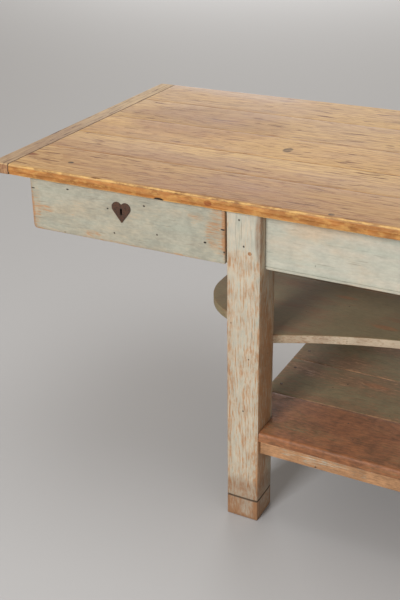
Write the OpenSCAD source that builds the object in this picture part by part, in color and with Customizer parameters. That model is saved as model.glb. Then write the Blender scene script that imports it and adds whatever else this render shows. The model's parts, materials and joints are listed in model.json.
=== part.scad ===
// Long painted pine work table: a plank top with breadboard ends that overhangs a four-legged
// frame, two shelves, and a lockable drawer hung under each overhang.
// Millimetres. X runs along the table, -Y is the front, +Z is up.
// The origin is on the floor, under the centre of the top.

/* [Top] */
// Length of the top over both breadboard ends
table_l = 2400; // [2000:10:3000]
// Depth of the top, front to back
table_d = 776; // [640:1:960]
// Height of the top surface above the floor
table_h = 780; // [640:1:940]
// Thickness of the planks and the breadboard ends
top_t = 25; // [22:0.5:34]
// Width of a breadboard end
bread_w = 48; // [38:1:90]
// Length of the tongues on the plank ends
tongue_l = 18; // [12:1:24]
// Thickness of the tongues on the plank ends
tongue_t = 8; // [6:0.5:9]
// Distance from the front and back edges to the first tongue
tongue_setback = 22; // [12:1:40]
// Width of the front plank
plank_1_w = 155; // [120:1:190]
// Width of the second plank
plank_2_w = 128; // [100:1:160]
// Width of the third plank; the two at the back share what is left
plank_3_w = 149; // [120:1:180]
// Open joint between two planks
plank_gap = 0.6; // [0.4:0.1:2]
// Radius of the worn upper arris around the top
top_arris_r = 5; // [1:0.5:8]
// Radius of the peg that locks a tongue into a breadboard end
bread_peg_r = 4; // [3:0.5:5]

/* [Frame] */
// Overhang of the top beyond the legs at each end
end_over = 576; // [450:1:750]
// Overhang of the top beyond the legs at the front and back
side_over = 15; // [5:1:40]
// Size of a leg along the table
leg_w = 77; // [70:1:110]
// Size of a leg across the table
leg_d = 79; // [70:1:110]
// Radius of the long arrises of a leg
leg_arris_r = 3; // [1:0.5:6]
// Height of the block that lengthens each leg
foot_h = 54.5; // [30:0.5:90]
// Width and depth of the groove around the joint of leg and foot
foot_groove = 1.8; // [0.8:0.1:3]
// Radius of the dowel in the joint of leg and foot
foot_dowel_r = 10; // [6:1:14]
// Length of that dowel
foot_dowel_l = 70; // [40:1:80]
// Height of the aprons and end rails under the top
apron_h = 129; // [90:1:150]
// Thickness of the aprons and end rails
apron_t = 25; // [20:1:30]
// Setback of the aprons and end rails from the faces of the legs
apron_recess = 24.5; // [15:0.5:30]
// Height of the bead scratched along the lower edge of an apron
bead_h = 7; // [4:1:12]
// Length of the tenons on aprons and rails
tenon_l = 34; // [20:1:36]
// Thickness of the tenons on aprons and end rails
tenon_t = 10; // [8:1:14]
// Shoulder left above and below a tenon
tenon_shoulder = 5; // [3:1:12]
// Radius of the peg through each upper tenon
frame_peg_r = 4; // [3:0.5:5]

/* [Lower shelf] */
// Height of the upper face of the lower shelf
lower_z = 242; // [160:1:300]
// Thickness of its boards
lower_t = 22; // [16:1:30]
// Distance from the end of its boards to the outer face of the legs
lower_end_in = 15; // [0:1:24]
// Radius of the rounded front and back edges of its boards
lower_edge_r = 8; // [2:0.5:10]
// Width of its front board
lower_1_w = 175; // [150:1:200]
// Width of its second board; the two at the back share what is left
lower_2_w = 172; // [140:1:190]
// Open joint between two of its boards
lower_gap = 1.2; // [0.4:0.1:3]
// Height of the rails under it
lower_rail_h = 38.5; // [30:0.5:70]
// Setback of its front and back rails from the faces of the legs
lower_rail_recess = 11; // [4:0.5:16]
// Thickness of the rails under it
lower_rail_t = 25; // [20:1:28]

/* [Middle shelf] */
// Height of the upper face of the middle shelf
mid_z = 452; // [380:1:500]
// Thickness of its two boards
mid_t = 20; // [14:1:26]
// Depth of the housing in each leg that holds the shelf
mid_housing = 8; // [4:1:14]
// Depth of the hollow curve along its front and back edges
mid_hollow = 130; // [60:1:160]
// How far its round ends stand out past the legs
mid_bulge = 150; // [80:1:220]
// How much narrower those ends are than the shelf, at its front and at its back
mid_shoulder = 41; // [10:1:80]
// Radius of the corners of those ends
mid_corner = 165; // [60:1:180]
// Joint between its two boards
mid_gap = 0.6; // [0.4:0.1:2]

/* [Drawers] */
// Distance from the end of the top to the outer side of the drawer front
drawer_inset = 94; // [70:1:140]
// Gap between the drawer front and the leg beside it
drawer_gap = 2.5; // [1:0.5:5]
// Gap between the drawer front and the underside of the top
drawer_top_gap = 2; // [1:0.5:4]
// Height of the drawer front
drawer_h = 121; // [100:1:145]
// Thickness of the drawer front
front_t = 22; // [20:1:26]
// Radius of the worn lower outer corner of the drawer front
front_corner_r = 9; // [3:0.5:16]
// Length of the drawer from its front face to its back end
drawer_l = 500; // [380:1:600]
// Thickness of the drawer sides
side_t = 15; // [12:0.5:18]
// How far the sides are let into the front
side_let_in = 11; // [6:0.5:14]
// Distance from the edges of the front to the upper and lower edges of the sides
side_setback = 6; // [4:0.5:12]
// Thickness of the drawer bottom
bottom_t = 8; // [6:0.5:10]
// Height of the drawer bottom above the lower edge of the sides
bottom_up = 6; // [4:0.5:12]
// How far the bottom and the back are let into the other boards
groove_d = 6; // [4:0.5:7]
// Thickness of the drawer back
back_t = 12; // [10:0.5:16]
// Distance from the drawer back to the ends of the sides
back_in = 20; // [10:1:40]
// Width of the strip that carries the drawer on each side
strip_w = 12; // [8:1:16]
// Height of the strip that carries the drawer on each side
strip_h = 14; // [10:1:20]
// Width of the hanger that holds a ledge under the top
hanger_w = 18; // [14:1:24]
// Height of the hanger that holds a ledge under the top
hanger_h = 28; // [22:1:36]
// Thickness of the ledge that the drawer runs on
ledge_t = 12; // [10:1:16]
// Length of the hangers and ledges
hanger_l = 500; // [400:1:600]
// Sideways clearance between a drawer and its hangers and ledges
slide_gap = 1; // [0.5:0.1:2]

/* [Lock and heart] */
// How far the heart is from the middle of the drawer front, outwards
heart_off = 5; // [0:1:40]
// Height of the keyhole above the lower edge of the drawer front
key_up = 76; // [60:1:85]
// Width of the heart
heart_w = 46; // [36:1:60]
// Height of the heart from its lobes to its tip
heart_h = 46; // [40:1:60]
// Thickness of the heart
heart_t = 2; // [1.5:0.1:4]
// Width of the keyhole
key_w = 5.4; // [4.8:0.1:8]
// Height of the keyhole
key_h = 17; // [12:0.5:20]
// Radius of the pins that hold the heart
heart_pin_r = 1; // [0.8:0.1:1.5]
// Width of the lock case
lock_w = 62; // [50:1:80]
// Depth of the lock case
lock_d = 13; // [11:0.5:18]
// Wall of the lock case
lock_wall = 1.6; // [1.2:0.1:2.5]
// Width of the lock bolt
bolt_w = 18; // [12:1:26]
// Thickness of the lock bolt
bolt_t = 6; // [4:0.5:7]
// Throw of the lock bolt into the top
bolt_throw = 9; // [5:0.5:12]

/* [Fasteners and fits] */
// Distance from the legs to the middle of each batten under the top
batten_in = 247; // [150:1:300]
// Width of a batten
batten_w = 60; // [40:1:90]
// Thickness of a batten
batten_t = 22; // [18:1:26]
// Radius of a screw's shank
screw_r = 2.2; // [1.6:0.1:3]
// How far a screw goes into a plank
screw_bite = 14; // [8:1:17]
// Radius of a shelf nail's shank
nail_r = 1.5; // [1:0.1:2.5]
// Radius of a shelf nail's head
nail_head_r = 3.5; // [2.5:0.1:5]
// Length of a shelf nail
nail_l = 40; // [32:1:52]
// Clearance between a tenon, tongue or housed board and its seat
fit = 0.2; // [0.1:0.05:0.5]
// Radial clearance around a peg, dowel, nail or screw
pin_fit = 0.1; // [0.05:0.05:0.3]

/* [Hidden] */
$fn = 48;
arc_fn = 240;

// How far a cutter stands out of what it cuts
cut = 1;
// Radii of the less worn arrises of boards
arris_r = 2;
thin_arris_r = 1;

under_z = table_h - top_t;
leg_x = table_l / 2 - end_over;
leg_y = table_d / 2 - side_over;
bay_x = leg_x - leg_w;
bay_y = leg_y - leg_d;
batten_x = bay_x - batten_in;
plank_x = table_l / 2 - bread_w;

// Edges of the planks, and of the lower boards, from front to back: the widths named above,
// and then two boards that share what is left
plank_ws = [plank_1_w, plank_2_w, plank_3_w];
lower_ws = [lower_1_w, lower_2_w];
function front_sum(list, n) = n == 0 ? 0 : list[n - 1] + front_sum(list, n - 1);
function seams(half, ws) =
    let (named = [for (n = [0:len(ws)]) front_sum(ws, n) - half])
    concat(named, [(named[len(ws)] + half) / 2, half]);
plank_y = seams(table_d / 2, plank_ws);
lower_y = seams(leg_y, lower_ws);

tongue_z = under_z + top_t / 2;
// Wood left over the pegs of the breadboard ends
peg_cover = 5;
apron_z = under_z - apron_h;
lower_under_z = lower_z - lower_t;
lower_rail_z = lower_under_z - lower_rail_h;
// How much deeper the lower end rails stand than the upper ones
lower_end_step = 2;
lower_end_recess = apron_recess + lower_end_step;
lower_x = leg_x - lower_end_in;
// Place of a tenon's peg, as shares of the apron's height and the tenon's length
peg_up_share = 0.31;
peg_in_share = 0.7;
peg_z = apron_z + apron_h * peg_up_share;
peg_in = tenon_l * peg_in_share;
bead_groove = 1.5;
bead_r = bead_h / 2 - 0.5;

// Middle shelf: half depth at the legs, radius of its hollow edges, and where its round ends reach
mid_y = bay_y + mid_housing;
hollow_r = (bay_x * bay_x + mid_hollow * mid_hollow) / (2 * mid_hollow);
mid_end_x = leg_x + mid_bulge;
mid_end_y = mid_y - mid_shoulder;

// Left drawer; the right one is its mirror image
front_x1 = -leg_x - drawer_gap;
front_x0 = -table_l / 2 + drawer_inset;
front_z1 = under_z - drawer_top_gap;
front_z0 = front_z1 - drawer_h;
front_y0 = -leg_y;
front_y1 = front_y0 + front_t;
drawer_end_y = front_y0 + drawer_l;
// Distance from the ends of the front to the hangers, and from its back to the ledges
hanger_in = 2;
hanger_gap = 0.5;
side_in = hanger_in + hanger_w + strip_w + 2 * slide_gap;
side_z0 = front_z0 + side_setback;
side_z1 = front_z1 - side_setback;
bottom_z = side_z0 + bottom_up;
drawer_mid_x = (front_x0 + front_x1) / 2;
side_x = (front_x1 - front_x0) / 2 - side_in;
box_x = side_x - side_t;
back_y1 = drawer_end_y - back_in;
ledge_top_z = under_z - hanger_h;
// Play between a ledge and the strip on it, and how far the drawer back is below the sides
strip_rest = 0.4;
back_drop = 4;
strip_z = ledge_top_z + strip_rest;
hanger_y0 = front_y1 + hanger_gap;
hanger_x = (front_x1 - front_x0) / 2 - hanger_in - hanger_w;
ledge_w = hanger_w + strip_w;

heart_x = drawer_mid_x - heart_off;
key_z = front_z0 + key_up;

// Shape of the heart, as shares of its width and height
lobe_share = 0.272;
lobe_up_share = 0.19;
lobe_r = heart_w * lobe_share;
lobe_x = heart_w / 2 - lobe_r;
heart_tip = heart_h - lobe_r;
heart_lobe_z = key_z + heart_h * lobe_up_share;
// Two pins outside the middles of the lobes, and one between them and the tip
pin_out_share = 1.15;
pin_down_share = 0.66;
heart_pin_l = 12;
heart_pin_head_r = 2 * heart_pin_r;
heart_pin_spots = [
    [-lobe_x * pin_out_share, 0], [lobe_x * pin_out_share, 0], [0, -heart_tip * pin_down_share]
];

// Lock: the case reaches from above the front's upper edge to below the keyhole
lock_down = 3;
lock_below_key = 12;
lock_z1 = front_z1 - lock_down;
lock_z0 = key_z - lock_below_key;
// Play of the bolt in the case, behind the front and above the key's post
bolt_fit = 0.3;
bolt_in = 1.2;
bolt_up = 5;
bolt_y = front_y1 + bolt_in;
bolt_low_z = key_z + bolt_up;
// Post that the key turns on: its radius, how far it is below the keyhole's middle and behind the front
post_r = 1.5;
post_down = 2;
post_in = 1;
// Play around the bolt in its pocket in the top
strike_gap = 2;
strike_deep = lock_z1 + bolt_throw + strike_gap - under_z;

// Glue blocks
block_w = 25;
block_l = 80;
block_x = bay_x - (batten_in - batten_w / 2) / 2;
screw_head_r = 2 * screw_r;
screw_head_h = screw_r;
// Four screws in each hanger, as shares of its length
hanger_screw_first = 0.08;
hanger_screw_step = 0.28;
hanger_screws = [for (k = [0:3]) hanger_y0 + hanger_l * (hanger_screw_first + hanger_screw_step * k)];

// Gap between a batten's end and the apron
batten_gap = 1;

// One row per screw: x, y and the height of the face that its head is sunk in
batten_screw_list = [
    for (side = [-1, 1], n = [0:4])
    [side * batten_x, batten_screw_y(n), under_z - batten_t]
];
hanger_screw_list = [
    for (side = [-1, 1], edge = [-1, 1], y = hanger_screws)
    [side * drawer_mid_x + edge * (hanger_x + hanger_w / 2), y, ledge_top_z - ledge_t]
];
screw_list = concat(batten_screw_list, hanger_screw_list);
function batten_half() = leg_y - apron_recess - apron_t - batten_gap;
function batten_screw_y(n) =
    (max(plank_y[n], -batten_half()) + min(plank_y[n + 1], batten_half())) / 2;

// One row per nail: x and y, over the end rail under each end of a lower board
nail_x = leg_x - lower_end_recess - lower_rail_t / 2;
nail_head_t = 1;
function nail_y(n, share) =
    let (y0 = max(lower_y[n], -bay_y), y1 = min(lower_y[n + 1], bay_y))
    y0 + (y1 - y0) * share;
nail_list = [for (side = [-1, 1], n = [0:3], share = [0.25, 0.75]) [side * nail_x, nail_y(n, share)]];

// ---- Shared shapes ----

// A box between two opposite corners
module block(low, high) {
    translate(low) cube(high - low);
}

// Mirror image for the right or the back when the flag is set
module flip(right = false, back = false) {
    mirror([right ? 1 : 0, 0, 0]) mirror([0, back ? 1 : 0, 0]) children();
}

// What is cut off a square corner to leave it round
module corner_waste(r) {
    difference() {
        translate([-cut, -cut]) square(r + cut);
        translate([r, r]) circle(r);
    }
}

// Board section with its own radius at each corner: low left, low right, high right, high left
module section(low, high, r) {
    at = [low, [high[0], low[1]], high, [low[0], high[1]]];
    difference() {
        translate(low) square(high - low);
        for (k = [0:3]) {
            if (r[k] > 0) translate(at[k]) rotate(90 * k) corner_waste(r[k]);
        }
    }
}

// Sweep a section drawn in Y and Z along X, or one drawn in X and Z along Y
module along_x(x0, x1) {
    translate([x0, 0, 0]) rotate([90, 0, 90]) linear_extrude(x1 - x0) children();
}

module along_y(y0, y1) {
    translate([0, y1, 0]) rotate([90, 0, 0]) linear_extrude(y1 - y0) children();
}

// Countersunk screw pointing up, with its head in the face at the origin
module screw(length, grow = 0) {
    rotate_extrude() polygon([
        [0, 0], [screw_head_r + grow, 0], [screw_r + grow, screw_head_h], [screw_r + grow, length + grow],
        [0, length + grow]
    ]);
}

module all_screws(grow = 0) {
    for (s = screw_list) translate(s) screw(under_z - s[2] + screw_bite, grow);
}

module all_nails(grow = 0) {
    for (n = nail_list) translate([n[0], n[1], 0]) {
        translate([0, 0, lower_z - nail_l - grow]) cylinder(r = nail_r + grow, h = nail_l);
        translate([0, 0, lower_z - nail_head_t - grow])
            cylinder(r = nail_head_r + grow, h = nail_head_t + grow);
    }
}

// ---- Top ----

module breadboard_pegs_at(grow = 0) {
    for (side = [-1, 1], n = [0:4])
        translate([side * (plank_x + tongue_l / 2), tongue_mid(n), under_z])
            cylinder(r = bread_peg_r + grow, h = top_t - peg_cover + grow);
}

function tongue_y(n, end) =
    min(max(plank_y[n + end], tongue_setback - table_d / 2), table_d / 2 - tongue_setback);
function tongue_mid(n) = (tongue_y(n, 0) + tongue_y(n, 1)) / 2;

// Pocket in the front plank for each lock bolt
module strikes() {
    for (side = [-1, 1]) translate([side * heart_x, 0, 0])
        block([-bolt_w / 2 - strike_gap, bolt_y - strike_gap, under_z - cut],
              [bolt_w / 2 + strike_gap, bolt_y + bolt_t + strike_gap, under_z + strike_deep]);
}

module top_plank(n) {
    y0 = plank_y[n] + (n == 0 ? 0 : plank_gap / 2);
    y1 = plank_y[n + 1] - (n == 4 ? 0 : plank_gap / 2);
    t0 = tongue_y(n, 0) + (n == 0 ? 0 : plank_gap / 2);
    t1 = tongue_y(n, 1) - (n == 4 ? 0 : plank_gap / 2);
    front = n == 0 ? 1 : 0;
    back = n == 4 ? 1 : 0;
    color("#C4A27A") difference() {
        union() {
            along_x(-plank_x, plank_x)
                section([y0, under_z], [y1, table_h],
                        [front * arris_r, back * arris_r, back * top_arris_r, front * top_arris_r]);
            block([-plank_x - tongue_l, t0, tongue_z - tongue_t / 2],
                  [plank_x + tongue_l, t1, tongue_z + tongue_t / 2]);
        }
        breadboard_pegs_at(pin_fit);
        all_screws(pin_fit);
        if (n == 0) strikes();
    }
}

module breadboard() {
    half = table_d / 2;
    color("#A98A63") difference() {
        along_y(-half, half)
            section([-table_l / 2, under_z], [-plank_x - fit / 2, table_h], [arris_r, 0, 0, top_arris_r]);
        block([-plank_x - tongue_l - 2 * fit, tongue_setback - half - fit, tongue_z - tongue_t / 2 - fit],
              [-plank_x + cut, half - tongue_setback + fit, tongue_z + tongue_t / 2 + fit]);
        breadboard_pegs_at(pin_fit);
    }
}

module breadboard_left() {
    breadboard();
}

module breadboard_right() {
    flip(right = true) breadboard();
}

module breadboard_pegs() {
    color("#8A6338") breadboard_pegs_at();
}

// ---- Legs and feet ----

module leg_section(inset = 0) {
    section([-leg_x + inset, -leg_y + inset], [-bay_x - inset, -bay_y - inset], leg_arris_r * [1, 1, 1, 1]);
}

// Tenon of a long or an end rail, at the front left corner of the frame
module long_tenon(recess, thick, z0, z1, grow = 0) {
    y = -leg_y + recess + (thick - tenon_t) / 2;
    block([-bay_x - tenon_l - grow, y - grow, z0 + tenon_shoulder - grow],
          [-bay_x + cut, y + tenon_t + grow, z1 - tenon_shoulder + grow]);
}

module end_tenon(recess, thick, z0, z1, grow = 0) {
    x = -leg_x + recess + (thick - tenon_t) / 2;
    block([x - grow, -bay_y - tenon_l - grow, z0 + tenon_shoulder - grow],
          [x + tenon_t + grow, -bay_y + cut, z1 - tenon_shoulder + grow]);
}

// Pegs through the two upper tenons of one leg, driven in from its outer faces
module corner_pegs(grow = 0) {
    through = apron_recess + apron_t;
    translate([-bay_x - peg_in, -leg_y, peg_z])
        rotate([-90, 0, 0]) cylinder(r = frame_peg_r + grow, h = through + grow);
    translate([-leg_x, -bay_y - peg_in, peg_z])
        rotate([0, 90, 0]) cylinder(r = frame_peg_r + grow, h = through + grow);
}

module foot_dowel(grow = 0) {
    translate([-leg_x + leg_w / 2, -leg_y + leg_d / 2, foot_h - foot_dowel_l / 2 - grow])
        cylinder(r = foot_dowel_r + grow, h = foot_dowel_l + 2 * grow);
}

module leg() {
    color("#BDB8A4") difference() {
        translate([0, 0, foot_h]) linear_extrude(under_z - foot_h) leg_section();
        long_tenon(apron_recess, apron_t, apron_z, under_z, fit);
        end_tenon(apron_recess, apron_t, apron_z, under_z, fit);
        long_tenon(lower_rail_recess, lower_rail_t, lower_rail_z, lower_under_z, fit);
        end_tenon(lower_end_recess, lower_rail_t, lower_rail_z, lower_under_z, fit);
        block([-leg_x - cut, -bay_y - mid_housing - fit, mid_z - mid_t - fit],
              [-bay_x + cut, -bay_y + cut, mid_z + fit]);
        corner_pegs(pin_fit);
        foot_dowel(pin_fit);
    }
}

module foot() {
    color("#9C7B52") difference() {
        union() {
            linear_extrude(foot_h - foot_groove) leg_section();
            linear_extrude(foot_h) leg_section(foot_groove);
        }
        foot_dowel(pin_fit);
    }
}

module leg_front_left() {
    leg();
}

module leg_front_right() {
    flip(right = true) leg();
}

module leg_back_left() {
    flip(back = true) leg();
}

module leg_back_right() {
    flip(right = true, back = true) leg();
}

module foot_front_left() {
    foot();
}

module foot_front_right() {
    flip(right = true) foot();
}

module foot_back_left() {
    flip(back = true) foot();
}

module foot_back_right() {
    flip(right = true, back = true) foot();
}

module at_corners() {
    for (right = [false, true], back = [false, true]) flip(right, back) children();
}

module foot_dowels() {
    color("#8A6338") at_corners() foot_dowel();
}

module frame_pegs() {
    color("#9A5A33") at_corners() corner_pegs();
}

// ---- Aprons and rails ----

module apron() {
    y0 = -leg_y + apron_recess;
    color("#C1BDAC") difference() {
        union() {
            along_x(-bay_x, bay_x)
                section([y0, apron_z], [y0 + apron_t, under_z], [bead_r, thin_arris_r, 0, 0]);
            for (right = [false, true]) flip(right) long_tenon(apron_recess, apron_t, apron_z, under_z);
        }
        block([-bay_x - cut, y0 - cut, apron_z + bead_h],
              [bay_x + cut, y0 + bead_groove, apron_z + bead_h + bead_groove]);
        at_corners() corner_pegs(pin_fit);
    }
}

module end_rail() {
    x0 = -leg_x + apron_recess;
    color("#A89F88") difference() {
        union() {
            block([x0, -bay_y, apron_z], [x0 + apron_t, bay_y, under_z]);
            for (back = [false, true]) flip(false, back) end_tenon(apron_recess, apron_t, apron_z, under_z);
        }
        at_corners() corner_pegs(pin_fit);
    }
}

module lower_rail() {
    y0 = -leg_y + lower_rail_recess;
    color("#B5824F") union() {
        along_x(-bay_x, bay_x)
            section([y0, lower_rail_z], [y0 + lower_rail_t, lower_under_z], [arris_r, arris_r, 0, 0]);
        for (right = [false, true]) flip(right)
            long_tenon(lower_rail_recess, lower_rail_t, lower_rail_z, lower_under_z);
    }
}

module lower_end_rail() {
    x0 = -leg_x + lower_end_recess;
    color("#9B8F74") difference() {
        union() {
            block([x0, -bay_y, lower_rail_z], [x0 + lower_rail_t, bay_y, lower_under_z]);
            for (back = [false, true]) flip(false, back)
                end_tenon(lower_end_recess, lower_rail_t, lower_rail_z, lower_under_z);
        }
        all_nails(pin_fit);
    }
}

module apron_front() {
    apron();
}

module apron_back() {
    flip(back = true) apron();
}

module end_rail_left() {
    end_rail();
}

module end_rail_right() {
    flip(right = true) end_rail();
}

module lower_rail_front() {
    lower_rail();
}

module lower_rail_back() {
    flip(back = true) lower_rail();
}

module lower_rail_left() {
    lower_end_rail();
}

module lower_rail_right() {
    flip(right = true) lower_end_rail();
}

// ---- Under the top ----

module batten(side) {
    color("#B59467") difference() {
        block([side * batten_x - batten_w / 2, -batten_half(), under_z - batten_t],
              [side * batten_x + batten_w / 2, batten_half(), under_z]);
        all_screws(pin_fit);
    }
}

module batten_left() {
    batten(-1);
}

module batten_right() {
    batten(1);
}

// Blocks glued into the corner of top and frame: three on each apron, one on each end rail
module glue_blocks() {
    y0 = -leg_y + apron_recess + apron_t;
    x0 = -leg_x + apron_recess + apron_t;
    color("#B59467") {
        for (back = [false, true], x = [-block_x, 0, block_x]) flip(false, back)
            block([x - block_l / 2, y0, under_z - block_w],
                  [x + block_l / 2, y0 + block_w, under_z]);
        for (right = [false, true])
            flip(right) block([x0, -block_l / 2, under_z - block_w], [x0 + block_w, block_l / 2, under_z]);
    }
}

module wood_screws() {
    color("#5B5148") all_screws();
}

// ---- Lower shelf ----

module lower_board(n) {
    y0 = lower_y[n] + (n == 0 ? 0 : lower_gap / 2);
    y1 = lower_y[n + 1] - (n == 3 ? 0 : lower_gap / 2);
    front_r = n == 0 ? lower_edge_r : 0;
    back_r = n == 3 ? lower_edge_r : 0;
    color(n == 0 ? "#8E5E40" : "#8D8467") difference() {
        along_x(-lower_x, lower_x)
            section([y0, lower_under_z], [y1, lower_z], [front_r / 2, back_r / 2, back_r, front_r]);
        at_corners() block([-leg_x - cut, -leg_y - cut, lower_under_z - cut],
                           [-bay_x + fit, -bay_y + fit, lower_z + cut]);
        all_nails(pin_fit);
    }
}

module lower_board_1() {
    lower_board(0);
}

module lower_board_2() {
    lower_board(1);
}

module lower_board_3() {
    lower_board(2);
}

module lower_board_4() {
    lower_board(3);
}

module shelf_nails() {
    color("#4A4038") all_nails();
}

// ---- Middle shelf ----

// Front half: round end past each leg, housed at the legs, hollow between them
module mid_half() {
    color("#8F8A6E") translate([0, 0, mid_z - mid_t]) linear_extrude(mid_t) difference() {
        union() {
            translate([-leg_x, -mid_y]) square([2 * leg_x, mid_y - mid_gap / 2]);
            section([-mid_end_x, -mid_end_y], [mid_end_x, -mid_gap / 2], [mid_corner, mid_corner, 0, 0]);
        }
        translate([0, mid_hollow - mid_y - hollow_r]) circle(hollow_r, $fn = arc_fn);
    }
}

module mid_shelf_front() {
    mid_half();
}

module mid_shelf_back() {
    flip(back = true) mid_half();
}

// ---- Drawer hangers ----

module drawer_hangers() {
    color("#A98A63") difference() {
        for (right = [false, true], edge = [-1, 1]) flip(right)
            translate([drawer_mid_x + edge * (hanger_x + hanger_w / 2), 0, 0])
                block([-hanger_w / 2, hanger_y0, ledge_top_z],
                      [hanger_w / 2, hanger_y0 + hanger_l, under_z]);
        all_screws(pin_fit);
    }
}

module drawer_ledges() {
    color("#A98A63") difference() {
        for (right = [false, true], edge = [-1, 1]) flip(right)
            translate([drawer_mid_x + edge * (hanger_x + hanger_w - ledge_w / 2), 0, 0])
                block([-ledge_w / 2, hanger_y0, ledge_top_z - ledge_t],
                      [ledge_w / 2, hanger_y0 + hanger_l, ledge_top_z]);
        all_screws(pin_fit);
    }
}

// ---- Drawers ----

// Keyhole section in X and Z
module keyhole(grow = 0) {
    w = key_w + 2 * grow;
    h = key_h + 2 * grow;
    translate([heart_x, key_z]) {
        square([w, h - w], center = true);
        for (end = [-1, 1]) translate([0, end * (h - w) / 2]) circle(w / 2);
    }
}

module heart_pins_at(grow = 0) {
    for (p = heart_pin_spots) translate([heart_x + p[0], front_y0 - heart_t, heart_lobe_z + p[1]])
        rotate([-90, 0, 0]) cylinder(r = heart_pin_r + grow, h = heart_pin_l + grow);
}

// The drawer's boards lie between x and -x about its middle
module drawer_board(x, y0, z0, y1, z1) {
    block([drawer_mid_x - x, y0, z0], [drawer_mid_x + x, y1, z1]);
}

module bottom_panel(grow = 0) {
    drawer_board(box_x + groove_d - fit + grow, front_y1 - groove_d + fit - grow, bottom_z + fit - grow,
                 drawer_end_y - cut, bottom_z + bottom_t - fit + grow);
}

module back_panel(grow = 0) {
    drawer_board(box_x + groove_d - fit + grow, back_y1 - back_t - grow, bottom_z + bottom_t,
                 back_y1 + grow, side_z1 + (grow > 0 ? cut : -back_drop));
}

module side_board(edge, grow = 0) {
    translate([drawer_mid_x + edge * (side_x - side_t / 2), 0, 0])
        block([-side_t / 2 - grow, front_y1 - side_let_in - grow, side_z0 - grow],
              [side_t / 2 + grow, drawer_end_y, side_z1 + (grow > 0 ? drawer_h : 0)]);
}

module drawer_front() {
    color("#BFBBA9") difference() {
        along_y(front_y0, front_y1)
            section([front_x0, front_z0], [front_x1, front_z1],
                    [front_corner_r, arris_r, thin_arris_r, thin_arris_r]);
        for (edge = [-1, 1]) side_board(edge, fit);
        bottom_panel(fit);
        along_y(front_y0 - cut, front_y1 + cut) keyhole();
        heart_pins_at(pin_fit);
    }
}

// The outer side is at edge -1, the one beside the leg at edge 1
module drawer_side(edge) {
    color("#BFA57C") difference() {
        side_board(edge);
        bottom_panel(fit);
        back_panel(fit);
    }
}

module drawer_back() {
    color("#BFA57C") back_panel();
}

module drawer_bottom() {
    color("#C9B08A") bottom_panel();
}

// Strips on the outside of the sides, which slide on the ledges
module drawer_strips() {
    color("#B08D5E") for (edge = [-1, 1]) translate([drawer_mid_x + edge * (side_x + strip_w / 2), 0, 0])
        block([-strip_w / 2, front_y1, strip_z],
              [strip_w / 2, drawer_end_y, strip_z + strip_h - strip_rest]);
}

// Case on the back of the drawer front, open towards it, with the post that guides the key
module lock_case() {
    color("#4C423A") {
        difference() {
            block([heart_x - lock_w / 2, front_y1, lock_z0],
                  [heart_x + lock_w / 2, front_y1 + lock_d, lock_z1]);
            block([heart_x - lock_w / 2 + lock_wall, front_y1 - cut, lock_z0 + lock_wall],
                  [heart_x + lock_w / 2 - lock_wall, front_y1 + lock_d - lock_wall, lock_z1 - lock_wall]);
            block([heart_x - bolt_w / 2 - bolt_fit, bolt_y - bolt_fit, lock_z1 - 2 * lock_wall],
                  [heart_x + bolt_w / 2 + bolt_fit, bolt_y + bolt_t + bolt_fit, lock_z1 + cut]);
        }
        translate([heart_x, front_y1 + post_in, key_z - post_down])
            rotate([-90, 0, 0]) cylinder(r = post_r, h = lock_d - post_in - lock_wall / 2);
    }
}

// Bolt with the notch that the key turns in
module lock_bolt() {
    color("#5C5046") difference() {
        block([heart_x - bolt_w / 2, bolt_y, bolt_low_z], [heart_x + bolt_w / 2, bolt_y + bolt_t, lock_z1]);
        translate([heart_x, bolt_y - cut, bolt_low_z]) rotate([-90, 0, 0])
            cylinder(r = bolt_w / 4, h = bolt_t + 2 * cut);
    }
}

// Heart section in X and Z: two round lobes and straight sides that touch them
module heart_section() {
    reach = norm([lobe_x, heart_tip]);
    lean = atan(lobe_x / heart_tip) + asin(lobe_r / reach);
    side = sqrt(reach * reach - lobe_r * lobe_r);
    touch = [side * sin(lean), side * cos(lean) - heart_tip];
    translate([heart_x, heart_lobe_z]) {
        polygon([[0, -heart_tip], touch, [lobe_x, 0], [-lobe_x, 0], [-touch[0], touch[1]]]);
        for (end = [-1, 1]) translate([end * lobe_x, 0]) circle(lobe_r);
    }
}

module heart() {
    color("#54443A") difference() {
        along_y(front_y0 - heart_t, front_y0) difference() {
            heart_section();
            keyhole();
        }
        heart_pins_at(pin_fit);
    }
}

module heart_pins() {
    color("#3F352E") {
        heart_pins_at();
        for (p = heart_pin_spots) translate([heart_x + p[0], front_y0 - heart_t, heart_lobe_z + p[1]])
            rotate([90, 0, 0]) cylinder(r1 = heart_pin_head_r, r2 = heart_pin_r, h = heart_pin_r);
    }
}

module left_drawer_front() {
    drawer_front();
}

module left_drawer_side_outer() {
    drawer_side(-1);
}

module left_drawer_side_inner() {
    drawer_side(1);
}

module left_drawer_back() {
    drawer_back();
}

module left_drawer_bottom() {
    drawer_bottom();
}

module left_drawer_strips() {
    drawer_strips();
}

module left_lock_case() {
    lock_case();
}

module left_lock_bolt() {
    lock_bolt();
}

module left_heart() {
    heart();
}

module left_heart_pins() {
    heart_pins();
}

module right_drawer_front() {
    flip(right = true) drawer_front();
}

module right_drawer_side_outer() {
    flip(right = true) drawer_side(-1);
}

module right_drawer_side_inner() {
    flip(right = true) drawer_side(1);
}

module right_drawer_back() {
    flip(right = true) drawer_back();
}

module right_drawer_bottom() {
    flip(right = true) drawer_bottom();
}

module right_drawer_strips() {
    flip(right = true) drawer_strips();
}

module right_lock_case() {
    flip(right = true) lock_case();
}

module right_lock_bolt() {
    flip(right = true) lock_bolt();
}

module right_heart() {
    flip(right = true) heart();
}

module right_heart_pins() {
    flip(right = true) heart_pins();
}

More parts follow.
